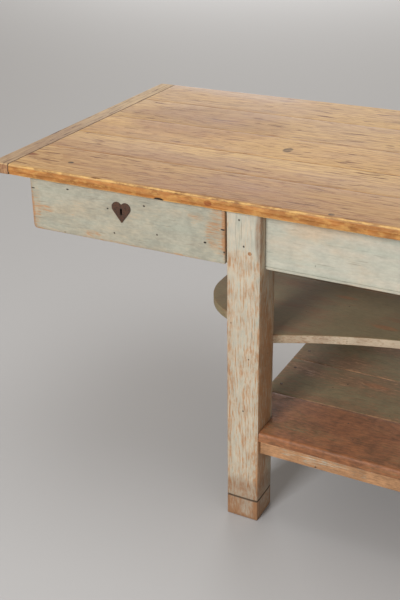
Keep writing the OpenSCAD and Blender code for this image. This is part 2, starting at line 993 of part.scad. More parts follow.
top_plank(0);  // top_plank_1
top_plank(1);  // top_plank_2
top_plank(2);  // top_plank_3
top_plank(3);  // top_plank_4
top_plank(4);  // top_plank_5
breadboard_left();
breadboard_right();
breadboard_pegs();
leg_front_left();
leg_front_right();
leg_back_left();
leg_back_right();
foot_front_left();
foot_front_right();
foot_back_left();
foot_back_right();
foot_dowels();
apron_front();
apron_back();
end_rail_left();
end_rail_right();
frame_pegs();
batten_left();
batten_right();
glue_blocks();
wood_screws();
lower_rail_front();
lower_rail_back();
lower_rail_left();
lower_rail_right();
lower_board_1();
lower_board_2();
lower_board_3();
lower_board_4();
shelf_nails();
mid_shelf_front();
mid_shelf_back();
drawer_hangers();
drawer_ledges();
left_drawer_front();
left_drawer_side_outer();
left_drawer_side_inner();
left_drawer_back();
left_drawer_bottom();
left_drawer_strips();
left_lock_case();
left_lock_bolt();
left_heart();
left_heart_pins();
right_drawer_front();
right_drawer_side_outer();
right_drawer_side_inner();
right_drawer_back();
right_drawer_bottom();
right_drawer_strips();
right_lock_case();
right_lock_bolt();
right_heart();
right_heart_pins();
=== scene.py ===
"""An old pine work table: a worn, oiled plank top with breadboard ends over a frame in rubbed milk paint,
with two shelves and a drawer with an iron heart hung under each end of the top."""

import json
import math

import bmesh
import bpy
from bpy.props import FloatProperty, FloatVectorProperty, PointerProperty
from mathutils import Matrix, Vector


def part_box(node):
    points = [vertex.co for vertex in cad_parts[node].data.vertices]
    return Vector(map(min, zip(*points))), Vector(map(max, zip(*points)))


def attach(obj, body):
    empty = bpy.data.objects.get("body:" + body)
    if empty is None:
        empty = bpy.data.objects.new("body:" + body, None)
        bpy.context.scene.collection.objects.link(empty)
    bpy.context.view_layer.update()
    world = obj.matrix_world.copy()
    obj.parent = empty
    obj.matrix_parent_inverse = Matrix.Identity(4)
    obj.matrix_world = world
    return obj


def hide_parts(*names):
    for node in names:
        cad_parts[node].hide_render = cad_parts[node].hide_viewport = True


bl_info = {
    "name": "Work Table",
    "version": (1, 0, 0),
    "blender": (4, 5, 0),
    "location": "View3D > Sidebar > Work Table",
    "description": "Makes a worn pine work table around its packed frame",
    "category": "Object",
}

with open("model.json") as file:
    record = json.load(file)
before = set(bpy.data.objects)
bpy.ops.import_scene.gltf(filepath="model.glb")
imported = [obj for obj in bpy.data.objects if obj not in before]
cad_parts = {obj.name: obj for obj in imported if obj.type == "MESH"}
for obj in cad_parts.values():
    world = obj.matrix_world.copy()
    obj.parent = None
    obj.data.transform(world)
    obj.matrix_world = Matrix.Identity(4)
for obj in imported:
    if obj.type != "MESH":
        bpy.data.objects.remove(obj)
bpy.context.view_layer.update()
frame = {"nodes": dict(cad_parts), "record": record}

MM = 0.001
SIDES = ("left", "right")
# two places that are nearer than this are the same
TOUCH = 0.01 * MM
# a face whose normal has a z above this is level
LEVEL = 0.999
# edges sharper than this are rounded, and flatter ones are shaded smooth
SHARP_EDGE = math.radians(50)
SMOOTH_EDGE = math.radians(35)
# how long the waves of a planed face, and the dents and chips of an arris, are
WAVE_LENGTH = 180 * MM
DENT_LENGTH = 70 * MM
CHIP_LENGTH = 16 * MM
FRONT_DENT_LENGTH = 60 * MM
# turns a cylinder so that it lies along y
ALONG_Y = (math.pi / 2, 0, 0)


def linear(code):
    """Turn an sRGB hex code into linear red, green and blue."""
    parts = [int(code[i : i + 2], 16) / 255 for i in (1, 3, 5)]
    return [c / 12.92 if c <= 0.04045 else ((c + 0.055) / 1.055) ** 2.4 for c in parts]


def colour_property(name, description, code):
    """A colour that a user may change, with its default as a hex code."""
    return FloatVectorProperty(
        name=name,
        description=description,
        default=linear(code),
        size=3,
        min=0,
        max=1,
        subtype="COLOR",
    )


def length_property(name, description, millimetres):
    """A length that a user may change, with its default in millimetres."""
    return FloatProperty(
        name=name,
        description=description,
        default=millimetres * MM,
        min=0,
        unit="LENGTH",
        precision=4,
    )


class WORKTABLE_PG_sizes(bpy.types.PropertyGroup):
    """Sizes that wear and hand work give the boards; their lengths come from the frame"""

    top_arris: length_property("Top arris", "Radius of the worn upper arris of the top", 5.5)
    board_arris: length_property("Board arris", "Radius of the arrises of the frame", 2.2)
    front_arris: length_property("Front arris", "Radius of the arrises of a drawer front", 1.4)
    joint_arris: length_property("Joint arris", "Radius of the arrises where two boards meet", 0.9)
    shelf_arris: length_property("Shelf arris", "Radius of the rounded long edges of the lower shelf", 7.5)
    shelf_shoulder: length_property("Shelf shoulder", "How much narrower the middle shelf's ends are", 41)
    shelf_corner: length_property("Shelf corner", "Radius of the corners of those round ends", 165)
    front_corner: length_property("Front corner", "Radius of the lower outer corner of a drawer front", 9)
    dent: length_property("Dents", "Depth of the dents and chips along a worn arris", 3)
    ripple: length_property("Ripple", "Depth of the waves that planing and wear leave on a face", 0.6)
    wear_reach: length_property("Wear reach", "How far from an arris its wear goes", 16)
    knot: length_property("Knot", "Radius of a knot", 9)
    bead: length_property("Bead", "Height of the bead along the lower edge of an apron", 7)
    bead_groove: length_property("Bead groove", "Width and depth of the groove above the bead", 2)
    bolt_throw: length_property("Bolt throw", "How far a lock bolt rises", 9)
    bolt_play: length_property("Bolt play", "Play around a lock bolt in its pocket", 1.6)
    heart_lobe: length_property("Heart lobe", "Radius of a lobe of the heart", 12.5)
    heart_tip: length_property("Heart tip", "Radius of the tip of the heart", 0.6)
    heart_edge: length_property("Heart edge", "Filed edge around the heart", 0.6)


class WORKTABLE_PG_colours(bpy.types.PropertyGroup):
    """Colours of the woods, the paint and the iron"""

    top_pale: colour_property("Top, pale", "Scrubbed, dry early wood of the top", "#C9A877")
    top_deep: colour_property("Top, deep", "Late wood of the top", "#A0774B")
    top_stain: colour_property("Top, stain", "Reddish stain in the top", "#8C6442")
    top_edge: colour_property("Top, edge", "Oiled edge of the top", "#B07A48")
    top_arris: colour_property("Top, arris", "Bare wood along the worn arris of the top", "#D8B070")
    paint: colour_property("Paint", "Milk paint where it is whole", "#BAB6A7")
    paint_green: colour_property("Paint, green", "Greener brush strokes in the paint", "#B0B2A4")
    # the next three are darker copies of the paint for the drawer fronts: painted shade on them
    paint_shaded: colour_property("Paint, dull", "Soiled paint of the drawer fronts", "#A4A090")
    paint_shaded_green: colour_property("Paint, dull green", "Greener strokes in that paint", "#A1A192")
    paint_dull_worn: colour_property("Paint, dull worn", "That paint where it is thin", "#ADA18B")
    paint_worn: colour_property("Paint, worn", "Paint that is rubbed thin", "#BFAE96")
    bare: colour_property("Bare wood", "Bare wood under the paint", "#AD825C")
    bare_deep: colour_property("Bare wood, deep", "Late wood under the paint", "#8A6242")
    shelf_paint: colour_property("Shelf paint", "Old olive paint of the shelves", "#85785A")
    shelf_thin: colour_property("Shelf paint, thin", "Rubbed brown paint of the shelves", "#8A674B")
    shelf_bare: colour_property("Shelf wood", "Reddish wood of the front shelf board", "#8E5B38")
    shelf_deep: colour_property("Shelf wood, deep", "Late wood of the front shelf board", "#633A22")
    raw: colour_property("Raw wood", "Unpainted pine inside the drawers", "#B9966A")
    rust: colour_property("Rust", "Brown rust on the wrought iron", "#5E4131")
    iron: colour_property("Iron", "Bare wrought iron", "#2F2824")
    top_line: colour_property("Top, lines", "Open pores, scratches and old cuts in the top", "#6E4B30")
    top_edge_deep: colour_property("Top, edge late wood", "Late wood on the edge of the top", "#99602C")
    top_edge_dry: colour_property("Top, dry edge", "Dry places on the edge of the top", "#C79A5C")
    knot: colour_property("Knots", "Knots in the oiled top", "#7B4A2C")
    top_seam: colour_property("Top, joints", "Dirt in the joints of the top", "#4A3220")
    top_chip: colour_property("Top, chips", "Fresh wood where the face has chipped", "#DDBD8A")
    red_knot: colour_property("Red knot", "The red knot in the front edge", "#7C3B22")
    # the void is not cut: this colour is painted shade in its hollow
    stain: colour_property("Black stains", "Old black stains in the top", "#3D2B1E")
    void: colour_property("Voids", "The inside of a void in the edge", "#2B1D14")
    # also painted shade on the legs' arrises beside the aprons
    soil: colour_property("Soil", "Brown soil on the feet and along the leg", "#7A5232")
    paint_seam: colour_property("Paint, joints", "Dirt in the joints of painted boards", "#40301F")
    paint_pore: colour_property("Paint, pores", "Dirt in the open grain under the paint", "#5A4733")
    worm_hole: colour_property("Worm holes", "Small nail and worm holes", "#3B2C20")
    paint_knot: colour_property("Paint, knots", "Knots that stain the paint", "#A56A42")
    # black marks, and the painted shade inside the keyholes
    black_mark_and_keyhole_shade: colour_property("Black marks", "Black marks in the paint", "#241A13")
    raw_knot: colour_property("Raw wood, knots", "Knots in the unpainted pine", "#6B4024")
    floor: colour_property("Floor", "Plain floor", "#B3B3B4")
    sky: colour_property("Surroundings", "Light from the room", "#F1E7DA")


class WORKTABLE_PG_studio(bpy.types.PropertyGroup):
    """Where the camera and the lights stand"""

    camera: FloatVectorProperty(
        name="Camera",
        description="Place of the camera",
        default=(0.2085, -2.0701, 1.4754),
        size=3,
        subtype="TRANSLATION",
    )
    turn: FloatProperty(
        name="Turn", description="Camera's turn to the left", default=math.radians(28.08), subtype="ANGLE"
    )
    tilt: FloatProperty(
        name="Tilt", description="Camera's tilt downwards", default=math.radians(26.03), subtype="ANGLE"
    )
    roll: FloatProperty(
        name="Roll", description="Camera's roll", default=math.radians(-1.08), subtype="ANGLE"
    )
    focal: FloatProperty(name="Focal length", description="In millimetres on 36 mm", default=60.29)
    shift: FloatProperty(name="Shift", description="Sideways shift of the lens", default=0.0077)
    key: FloatProperty(name="Key light", description="Power of the key light", default=285, unit="POWER")
    overhead: FloatProperty(
        name="Overhead light", description="Power of the light above", default=62, unit="POWER"
    )
    fill: FloatProperty(name="Fill light", description="Power of the fill light", default=20, unit="POWER")
    bounce: FloatProperty(
        name="Bounce light", description="Power of the light from behind", default=330, unit="POWER"
    )
    room: FloatProperty(name="Room light", description="Strength of the light from the room", default=0.45)


def sizes():
    """The sizes that a user may change."""
    return bpy.context.scene.work_table_sizes


def colour(name):
    """A colour property as red, green, blue and alpha."""
    return (*getattr(bpy.context.scene.work_table_colours, name), 1)


# ---- Modelling ----


def deselect():
    """Deselect every object."""
    bpy.ops.object.select_all(action="DESELECT")


def take(piece):
    """Select a piece, and nothing else, and make it the active one."""
    deselect()
    piece.select_set(True)
    bpy.context.view_layer.objects.active = piece


def begin(name, add_primitive, **settings):
    """Add a primitive, name it, and put its place and size into its mesh."""
    deselect()
    add_primitive(**settings)
    piece = bpy.context.active_object
    piece.name = name
    piece.data.name = name
    bpy.ops.object.transform_apply(location=True, rotation=True, scale=True)
    return piece


def block(name, low, high):
    """A new box between two corners."""
    add_cube = bpy.ops.mesh.primitive_cube_add
    return begin(name, add_cube, size=1, location=(low + high) / 2, scale=high - low)


def disc(name, radius, depth, place, vertices, rotation=(0, 0, 0)):
    """A new disc that lies flat, or is turned."""
    return begin(
        name,
        bpy.ops.mesh.primitive_cylinder_add,
        radius=radius,
        depth=depth,
        location=place,
        rotation=rotation,
        vertices=vertices,
    )


def choose(piece, kind, wanted):
    """In edit mode, select the verts, edges or faces that wanted() accepts, and nothing else."""
    bpy.ops.mesh.select_mode(type={"verts": "VERT", "edges": "EDGE", "faces": "FACE"}[kind])
    bpy.ops.mesh.select_all(action="DESELECT")
    mesh = bmesh.from_edit_mesh(piece.data)
    for part in getattr(mesh, kind):
        if wanted(part):
            part.select_set(True)
    bmesh.update_edit_mesh(piece.data)


def choose_sharp(sharpness=SHARP_EDGE):
    """In edit mode, select the sharp edges, and nothing else."""
    bpy.ops.mesh.select_mode(type="EDGE")
    bpy.ops.mesh.select_all(action="DESELECT")
    bpy.ops.mesh.edges_select_sharp(sharpness=sharpness)


def on_side(point, low, high, side):
    """Whether a point lies on a side of a box, such as "-y"."""
    axis = "xyz".index(side[1])
    return abs(point[axis] - (high if side[0] == "+" else low)[axis]) < TOUCH


def upright(edge):
    """Whether an edge stands along z."""
    one, other = (vertex.co for vertex in edge.verts)
    return (one - other).xy.length < TOUCH


def reach_of(low, high):
    """How far the wear of a board's arrises goes; on a thin board it stays short of the middle."""
    return min(sizes().wear_reach, 0.4 * min(high - low))


def board(name, low, high, grain, rounds=(), step=20 * MM, arris=None):
    """A board with its grain along an axis. Each of rounds is two sides and the radius of the edge between
    them; every other edge takes the arris. Cuts across the grain let its edges wear unevenly."""
    run = "xyz".index(grain)
    piece = block(name, low, high)
    bpy.ops.object.mode_set(mode="EDIT")
    choose(piece, "edges", lambda e: abs(e.verts[0].co[run] - e.verts[1].co[run]) > MM)
    bpy.ops.mesh.subdivide(number_cuts=max(2, int((high - low)[run] / step)))
    for *sides, radius in rounds:
        choose(piece, "edges", lambda e: all(on_side(v.co, low, high, s) for v in e.verts for s in sides))
        bpy.ops.mesh.bevel(offset=radius, segments=5, affect="EDGES")
    choose_sharp()
    bpy.ops.mesh.bevel(offset=arris or sizes().joint_arris, segments=3, affect="EDGES")
    # one more cut beside each side, where the wear of its arrises ends
    for axis in range(3):
        for place in (low[axis] + reach_of(low, high), high[axis] - reach_of(low, high)):
            bpy.ops.mesh.select_all(action="SELECT")
            normal = [float(k == axis) for k in range(3)]
            bpy.ops.mesh.bisect(plane_co=[place * n for n in normal], plane_no=normal)
    bpy.ops.object.mode_set(mode="OBJECT")
    return piece


def nearness(point, low, high, sides, reach):
    """How near a point is to the sides of a box, from 1 on them to 0 at reach."""
    gaps = []
    for side in sides:
        axis = "xyz".index(side[1])
        gaps.append(abs(point[axis] - (high if side[0] == "+" else low)[axis]))
    return max(0.0, 1 - max(gaps) / reach)


def mark_wear(piece, low, high, rubbed=(), joints=()):
    """Store how near each point is to a worn arris as "worn", and to a joint as "joint", from 1 to 0."""
    reach = reach_of(low, high)
    points = [vertex.co.copy() for vertex in piece.data.vertices]
    worn = [max((nearness(p, low, high, pair, reach) for pair in rubbed), default=0.0) for p in points]
    joint = [max((nearness(p, low, high, [side], reach) for side in joints), default=0.0) for p in points]
    group = piece.vertex_groups.new(name="arrises")
    for index, amount in enumerate(worn):
        group.add([index], amount**3, "REPLACE")
    piece.data.attributes.new("worn", "FLOAT", "POINT").data.foreach_set("value", worn)
    piece.data.attributes.new("joint", "FLOAT", "POINT").data.foreach_set("value", joint)


def dent(piece, depth, length, group=""):
    """Press a face or a worn arris in by up to depth, in dents about as long as length."""
    take(piece)
    cloud = bpy.data.textures.new("dents", "CLOUDS")
    cloud.noise_scale = length
    bpy.ops.object.modifier_add(type="DISPLACE")
    modifier = piece.modifiers[-1]
    modifier.texture = cloud
    modifier.texture_coords = "LOCAL"
    modifier.mid_level = 1
    modifier.strength = depth
    modifier.vertex_group = group
    bpy.ops.object.modifier_apply(modifier=modifier.name)


def carve(piece, cutter, operation="DIFFERENCE"):
    """Cut a piece with another, or join the two, and remove the other."""
    take(piece)
    bpy.ops.object.modifier_add(type="BOOLEAN")
    modifier = piece.modifiers[-1]
    modifier.operation = operation
    modifier.object = cutter
    modifier.solver = "EXACT"
    bpy.ops.object.modifier_apply(modifier=modifier.name)
    bpy.data.objects.remove(cutter)


def finish_piece(piece, body, slot, material, *nodes):
    """Smooth a piece, give it its material and its body, and let it stand for its CAD nodes."""
    take(piece)
    bpy.ops.object.shade_smooth_by_angle(angle=SMOOTH_EDGE)
    piece.data.materials.clear()
    piece.data.materials.append(material)
    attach(piece, body)
    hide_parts(*nodes)
    return piece


def worn_board(node, material, slot, grain, rubbed=(), rounds=(), **more):
    """A board of the table in the place of a CAD node. Each of rubbed is two sides whose edge is worn;
    more may hold other corners, joints, a step, an arris, cutters that are taken out of the board before
    it is worn, and the share of the full dents as chips."""
    cad_low, cad_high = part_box(node)
    low = more.get("low", cad_low)
    high = more.get("high", cad_high)
    chips = more.get("chips", 0.35)
    step = more.get("step", 20 * MM)
    piece = board(node.replace("_", "-"), low, high, grain, rounds, step, more.get("arris"))
    for cutter in more.get("cutters", ()):
        carve(piece, cutter)
    mark_wear(piece, low, high, rubbed, more.get("joints", ()))
    dent(piece, sizes().ripple, WAVE_LENGTH)
    dent(piece, sizes().dent * chips, DENT_LENGTH, "arrises")
    dent(piece, sizes().dent * chips * 0.5, CHIP_LENGTH, "arrises")
    return finish_piece(piece, "table", slot, material, node)


def dress(material, *nodes):
    """Give CAD nodes that keep their own shape a material."""
    for node in nodes:
        mesh = frame["nodes"][node].data
        mesh.materials.clear()
        mesh.materials.append(material)


# ---- Materials ----


def add(tree, kind, inputs=None, **settings):
    """Add a shader node with its settings. Each input is a value or the socket that feeds it."""
    node = tree.nodes.new("ShaderNode" + kind)
    for key, value in settings.items():
        setattr(node, key, value)
    for key, value in (inputs or {}).items():
        if isinstance(value, bpy.types.NodeSocket):
            tree.links.new(value, node.inputs[key])
        else:
            node.inputs[key].default_value = value
    return node.outputs


def blank(name):
    """A new material, its node tree and its shader."""
    material = bpy.data.materials.new(name)
    material.use_nodes = True
    tree = material.node_tree
    return material, tree, tree.nodes["Principled BSDF"]


# how a pattern is turned so that its x runs along the grain
ALONG = {"x": (0, 0, 0), "y": (0, 0, -math.pi / 2), "z": (0, math.pi / 2, 0)}
# a Mix node of colours, its two inputs and its output, and a Map Range node with soft ends
RGBA = {"data_type": "RGBA"}
A, B, MIXED = 6, 7, 2
SMOOTH = {"interpolation_type": "SMOOTHSTEP"}


def repeats(along, across):
    """Return a scale that repeats a pattern so many times a metre along the grain and across it."""
    return (along, across, across)


def sawn_pine(tree, grain, shift, pith, ring=6.5 * MM):
    """Growth rings, fibres and knots of a sawn pine board, each from 0 to 1.

    The pith runs along the grain at its own place beside or under the face, so the face shows arches over
    it and straight lines away from it. Rings are 1 to 4 mm apart in pine; they are drawn wider so that
    they show."""
    place = add(tree, "TexCoord")["Object"]
    turned = add(tree, "Mapping", {"Vector": place, "Rotation": ALONG[grain], "Location": shift})[0]
    slow = add(tree, "Mapping", {"Vector": turned, "Scale": repeats(0.9, 3.5)})[0]
    bend = add(tree, "TexNoise", {"Vector": slow, "Scale": 1.0, "Detail": 3.0, "Roughness": 0.55})["Color"]
    centred = add(tree, "VectorMath", {0: bend, 1: (0.5, 0.5, 0.5)}, operation="SUBTRACT")[0]
    pushed = add(tree, "VectorMath", {0: centred, 1: (0, 0.06, 0.06)}, operation="MULTIPLY")[0]
    bent = add(tree, "VectorMath", {0: turned, 1: pushed}, operation="ADD")[0]
    # knots: one in each cell of a coarse cell pattern, where that cell's point comes near the face
    cells = add(tree, "Mapping", {"Vector": turned, "Scale": repeats(2.6, 9.0)})[0]
    near = add(tree, "TexVoronoi", {"Vector": cells, "Scale": 1.0, "Randomness": 1.0})["Distance"]
    # the distance in that pattern is in cells, of which there are 9 to a metre across the grain
    knot_size = sizes().knot * 9
    rim = {"Value": near, "From Min": knot_size * 1.3, "From Max": knot_size * 0.7}
    knots = add(tree, "MapRange", rim, **SMOOTH)[0]
    around = {"Value": near, "From Min": knot_size * 5, "From Max": 0.0, "To Max": 16 * MM}
    swell = add(tree, "MapRange", around, **SMOOTH)[0]
    across = add(tree, "VectorMath", {0: bent, 1: (0, 1, 1)}, operation="MULTIPLY")[0]
    radius = add(tree, "VectorMath", {0: across, 1: (0, *pith)}, operation="DISTANCE")["Value"]
    swollen = add(tree, "Math", {0: radius, 1: swell}, operation="ADD")[0]
    counted = add(tree, "Math", {0: swollen, 1: ring}, operation="DIVIDE")[0]
    within = add(tree, "Math", {0: counted}, operation="FRACT")[0]
    # each ring darkens slowly to its late wood and then starts again at once
    rings = add(tree, "Math", {0: within, 1: 2.2}, operation="POWER")[0]
    # fibres are too fine to show, so they are drawn as bundles about 4 mm wide
    strands = add(tree, "Mapping", {"Vector": bent, "Scale": repeats(5.0, 260.0)})[0]
    fibres = add(tree, "TexNoise", {"Vector": strands, "Scale": 1.0, "Detail": 4.0, "Roughness": 0.6})["Fac"]
    return {"place": place, "along": turned, "bent": bent, "rings": rings, "fibres": fibres, "knots": knots}


def spots(tree, place, marks):
    """A mask of oval marks; each is its centre and its half sizes along x, y and z, in millimetres."""
    total = None
    for centre, half in marks:
        scale = [1 / (h * MM) for h in half]
        offset = [-c * MM * s for c, s in zip(centre, scale)]
        oval = add(tree, "Mapping", {"Vector": place, "Location": offset, "Scale": scale})[0]
        ball = add(tree, "TexGradient", {"Vector": oval}, gradient_type="SPHERICAL")["Fac"]
        edge = add(tree, "MapRange", {"Value": ball, "From Max": 0.35}, **SMOOTH)[0]
        total = edge if total is None else add(tree, "Math", {0: total, 1: edge}, operation="MAXIMUM")[0]
    return total


def dashes(tree, along, scale, low, high):
    """Short dark lines along the grain: open pores, scratches and old cuts."""
    cells = add(tree, "Mapping", {"Vector": along, "Scale": scale})[0]
    noise = add(tree, "TexNoise", {"Vector": cells, "Scale": 1.0, "Detail": 2.0, "Roughness": 0.5})["Fac"]
    return add(tree, "MapRange", {"Value": noise, "From Min": low, "From Max": high}, **SMOOTH)[0]


TOP = {
    # how much lighter and stronger its colour is than the rest of the top, as a share
    "tone": 0.0,
    # how dark the dirt in its joints is, and how pale the chips beside them
    "seam": 0.4,
    "chips": 0.0,
    # oval marks, as spots() takes them: voids, black stains, red knots and browner parts
    "marks": (),
    "stains": (),
    "red_marks": (),
    "tinted": (),
}


def oiled_pine(name, grain, shift, pith, **changes):
    """Pine, planed and oiled, then scrubbed for years: a soft sheen, dry pale early wood, darker stained
    places, and a deeper orange on the edges that hands and cloths don't reach."""
    look = {**TOP, **changes}
    material, tree, shader = blank(name)
    wood = sawn_pine(tree, grain, shift, pith)
    # scrubbed and stained areas, 20 to 60 cm across
    areas = add(tree, "Mapping", {"Vector": wood["along"], "Scale": repeats(1.7, 3.6)})[0]
    area = add(tree, "TexNoise", {"Vector": areas, "Scale": 1.0, "Detail": 4.0, "Roughness": 0.6})["Fac"]
    grey = add(tree, "MapRange", {"Value": area, "From Min": 0.62, "From Max": 0.36, "To Max": 0.62})[0]
    # small brown spots, 1 to 4 cm long, where water and food have got into the wood
    drops = add(tree, "Mapping", {"Vector": wood["along"], "Scale": repeats(26.0, 95.0)})[0]
    drop = add(tree, "TexNoise", {"Vector": drops, "Scale": 1.0, "Detail": 4.0, "Roughness": 0.65})["Fac"]
    mottle = add(tree, "MapRange", {"Value": drop, "From Min": 0.5, "From Max": 0.7, "To Max": 0.42})[0]
    grey = add(tree, "Math", {0: grey, 1: mottle}, operation="ADD")[0]
    if look["tinted"]:
        brown = spots(tree, wood["place"], look["tinted"])
        broad = add(tree, "Math", {0: brown, 1: 0.28}, operation="MULTIPLY")[0]
        grey = add(tree, "Math", {0: grey, 1: broad}, operation="ADD")[0]
    deep = add(tree, "Mix", {0: wood["rings"], A: colour("top_pale"), B: colour("top_deep")}, **RGBA)[MIXED]
    soft = add(tree, "Mix", {0: 0.55, A: deep, B: colour("top_pale")}, **RGBA)[MIXED]
    stained = add(tree, "Mix", {0: grey, A: soft, B: colour("top_stain")}, **RGBA)[MIXED]
    fibre = add(
        tree,
        "MapRange",
        {"Value": wood["fibres"], "From Min": 0.3, "From Max": 0.7, "To Min": 0.8, "To Max": 1.18},
    )[0]
    grained = add(tree, "VectorMath", {0: stained, "Scale": fibre}, operation="SCALE")[0]
    fine = dashes(tree, wood["along"], repeats(16.0, 260.0), 0.56, 0.68)
    cuts = dashes(tree, wood["along"], repeats(14.0, 130.0), 0.645, 0.69)
    marked = add(tree, "Math", {0: fine, 1: 0.6}, operation="MULTIPLY")[0]
    dark = add(tree, "Math", {0: marked, 1: cuts}, operation="MAXIMUM")[0]
    lined = add(tree, "Mix", {0: dark, A: grained, B: colour("top_line")}, **RGBA)[MIXED]
    # the vertical edges are oilier and orange; the arris between them and the face is worn pale
    up = add(tree, "SeparateXYZ", {0: add(tree, "NewGeometry")["Normal"]})["Z"]
    vertical = add(tree, "MapRange", {"Value": up, "From Min": 0.62, "From Max": 0.2})[0]
    oily, oily_deep = colour("top_edge"), colour("top_edge_deep")
    edge_grain = add(tree, "Mix", {0: wood["rings"], A: oily, B: oily_deep}, **RGBA)[MIXED]
    shade = add(
        tree,
        "MapRange",
        {"Value": drop, "From Min": 0.3, "From Max": 0.7, "To Min": 1.3, "To Max": 0.62},
    )[0]
    edge_grain = add(tree, "VectorMath", {0: edge_grain, "Scale": shade}, operation="SCALE")[0]
    worn = add(tree, "Attribute", attribute_name="worn")["Fac"]
    torn = add(tree, "Mapping", {"Vector": wood["along"], "Scale": repeats(38.0, 90.0)})[0]
    ragged = add(tree, "TexNoise", {"Vector": torn, "Scale": 1.0, "Detail": 4.0, "Roughness": 0.7})["Fac"]
    dry = add(tree, "MapRange", {"Value": ragged, "From Min": 0.48, "From Max": 0.64, "To Max": 0.7})[0]
    edge_grain = add(tree, "Mix", {0: dry, A: edge_grain, B: colour("top_edge_dry")}, **RGBA)[MIXED]
    edged = add(tree, "Mix", {0: vertical, A: lined, B: edge_grain}, **RGBA)[MIXED]
    rub = add(tree, "Math", {0: worn, 1: ragged}, operation="MULTIPLY")[0]
    to_bare = {"Value": rub, "From Min": 0.28, "From Max": 0.46, "To Max": 0.8}
    bare = add(tree, "MapRange", to_bare, **SMOOTH)[0]
    level = add(tree, "MapRange", {"Value": up, "From Min": 0.0, "From Max": 0.4})[0]
    bare_top = add(tree, "Math", {0: bare, 1: level}, operation="MULTIPLY")[0]
    rubbed = add(tree, "Mix", {0: bare_top, A: edged, B: colour("top_arris")}, **RGBA)[MIXED]
    knotted = add(tree, "Mix", {0: wood["knots"], A: rubbed, B: colour("knot")}, **RGBA)[MIXED]
    # dirt lies in the joints; its line is drawn 2 to 4 mm wide, wider than the gap, so that it shows
    joint = add(tree, "Attribute", attribute_name="joint")["Fac"]
    uneven = add(tree, "Math", {0: ragged, 1: 0.5, 2: joint}, operation="MULTIPLY_ADD")[0]
    deepest = {"Value": uneven, "From Min": 0.92, "From Max": 1.14, "To Max": look["seam"]}
    dirt = add(tree, "MapRange", deepest)[0]
    knotted = add(tree, "Mix", {0: dirt, A: knotted, B: colour("top_seam")}, **RGBA)[MIXED]
    # beside an end joint the face has chipped and shows fresh pale wood
    fresh = {"Value": uneven, "From Min": 1.2, "From Max": 1.28, "To Max": look["chips"]}
    chipped = add(tree, "MapRange", fresh)[0]
    knotted = add(tree, "Mix", {0: chipped, A: knotted, B: colour("top_chip")}, **RGBA)[MIXED]
    # red knots and black stains have ragged edges, and voids have hard ones
    ragged_edge = add(tree, "MapRange", {"Value": drop, "From Min": 0.25, "From Max": 0.6})[0]
    for key, tint in (("red_marks", "red_knot"), ("stains", "stain"), ("marks", "void")):
        if look[key]:
            mark = spots(tree, wood["place"], look[key])
            if key != "marks":
                mark = add(tree, "Math", {0: mark, 1: ragged_edge}, operation="MULTIPLY")[0]
            knotted = add(tree, "Mix", {0: mark, A: knotted, B: colour(tint)}, **RGBA)[MIXED]
    strength = 1.0 + look["tone"]
    final = add(tree, "HueSaturation", {"Value": strength, "Saturation": strength, "Color": knotted})[0]
    tree.links.new(final, shader.inputs["Base Color"])
    # oil lies in the stained places, which shine a little more than the scrubbed ones
    gloss = add(
        tree,
        "MapRange",
        {"Value": area, "From Min": 0.35, "From Max": 0.65, "To Min": 0.52, "To Max": 0.7},
    )[0]
    tree.links.new(gloss, shader.inputs["Roughness"])
    shader.inputs["Specular IOR Level"].default_value = 0.25
    ridges = add(tree, "Math", {0: wood["fibres"], 1: wood["rings"]}, operation="SUBTRACT")[0]
    height = add(tree, "Math", {0: ridges, 1: dark}, operation="SUBTRACT")[0]
    relief = add(tree, "Bump", {"Height": height, "Distance": 0.35 * MM, "Strength": 0.8})[0]
    tree.links.new(relief, shader.inputs["Normal"])
    return material


PAINT = {
    # colours of the paint, of the wood under it, and, where there is one, of faces that look along y
    "coat": "paint",
    "second": "paint_green",
    "thin": "paint_worn",
    "bare": "bare",
    "deep": "bare_deep",
    "edge": "",
    # how much wear follows the grain, the arrises and slow patches, and how much more faces along x have,
    # partly as painted shade
    "streaks": 0.5,
    "rub": 0.5,
    "patch": 0.5,
    "sides": 0.0,
    # oval marks, as spots() takes them: black ones, rubbed ones and soiled ones
    "marks": (),
    "rubbed": (),
    "soiled": (),
    # how dark the dirt in the joints is, or how worn they are
    "seam": 0.0,
    "joint_wear": 0.0,
    # how far the tone goes up and down, as a share
    "uneven": 0.1,
}


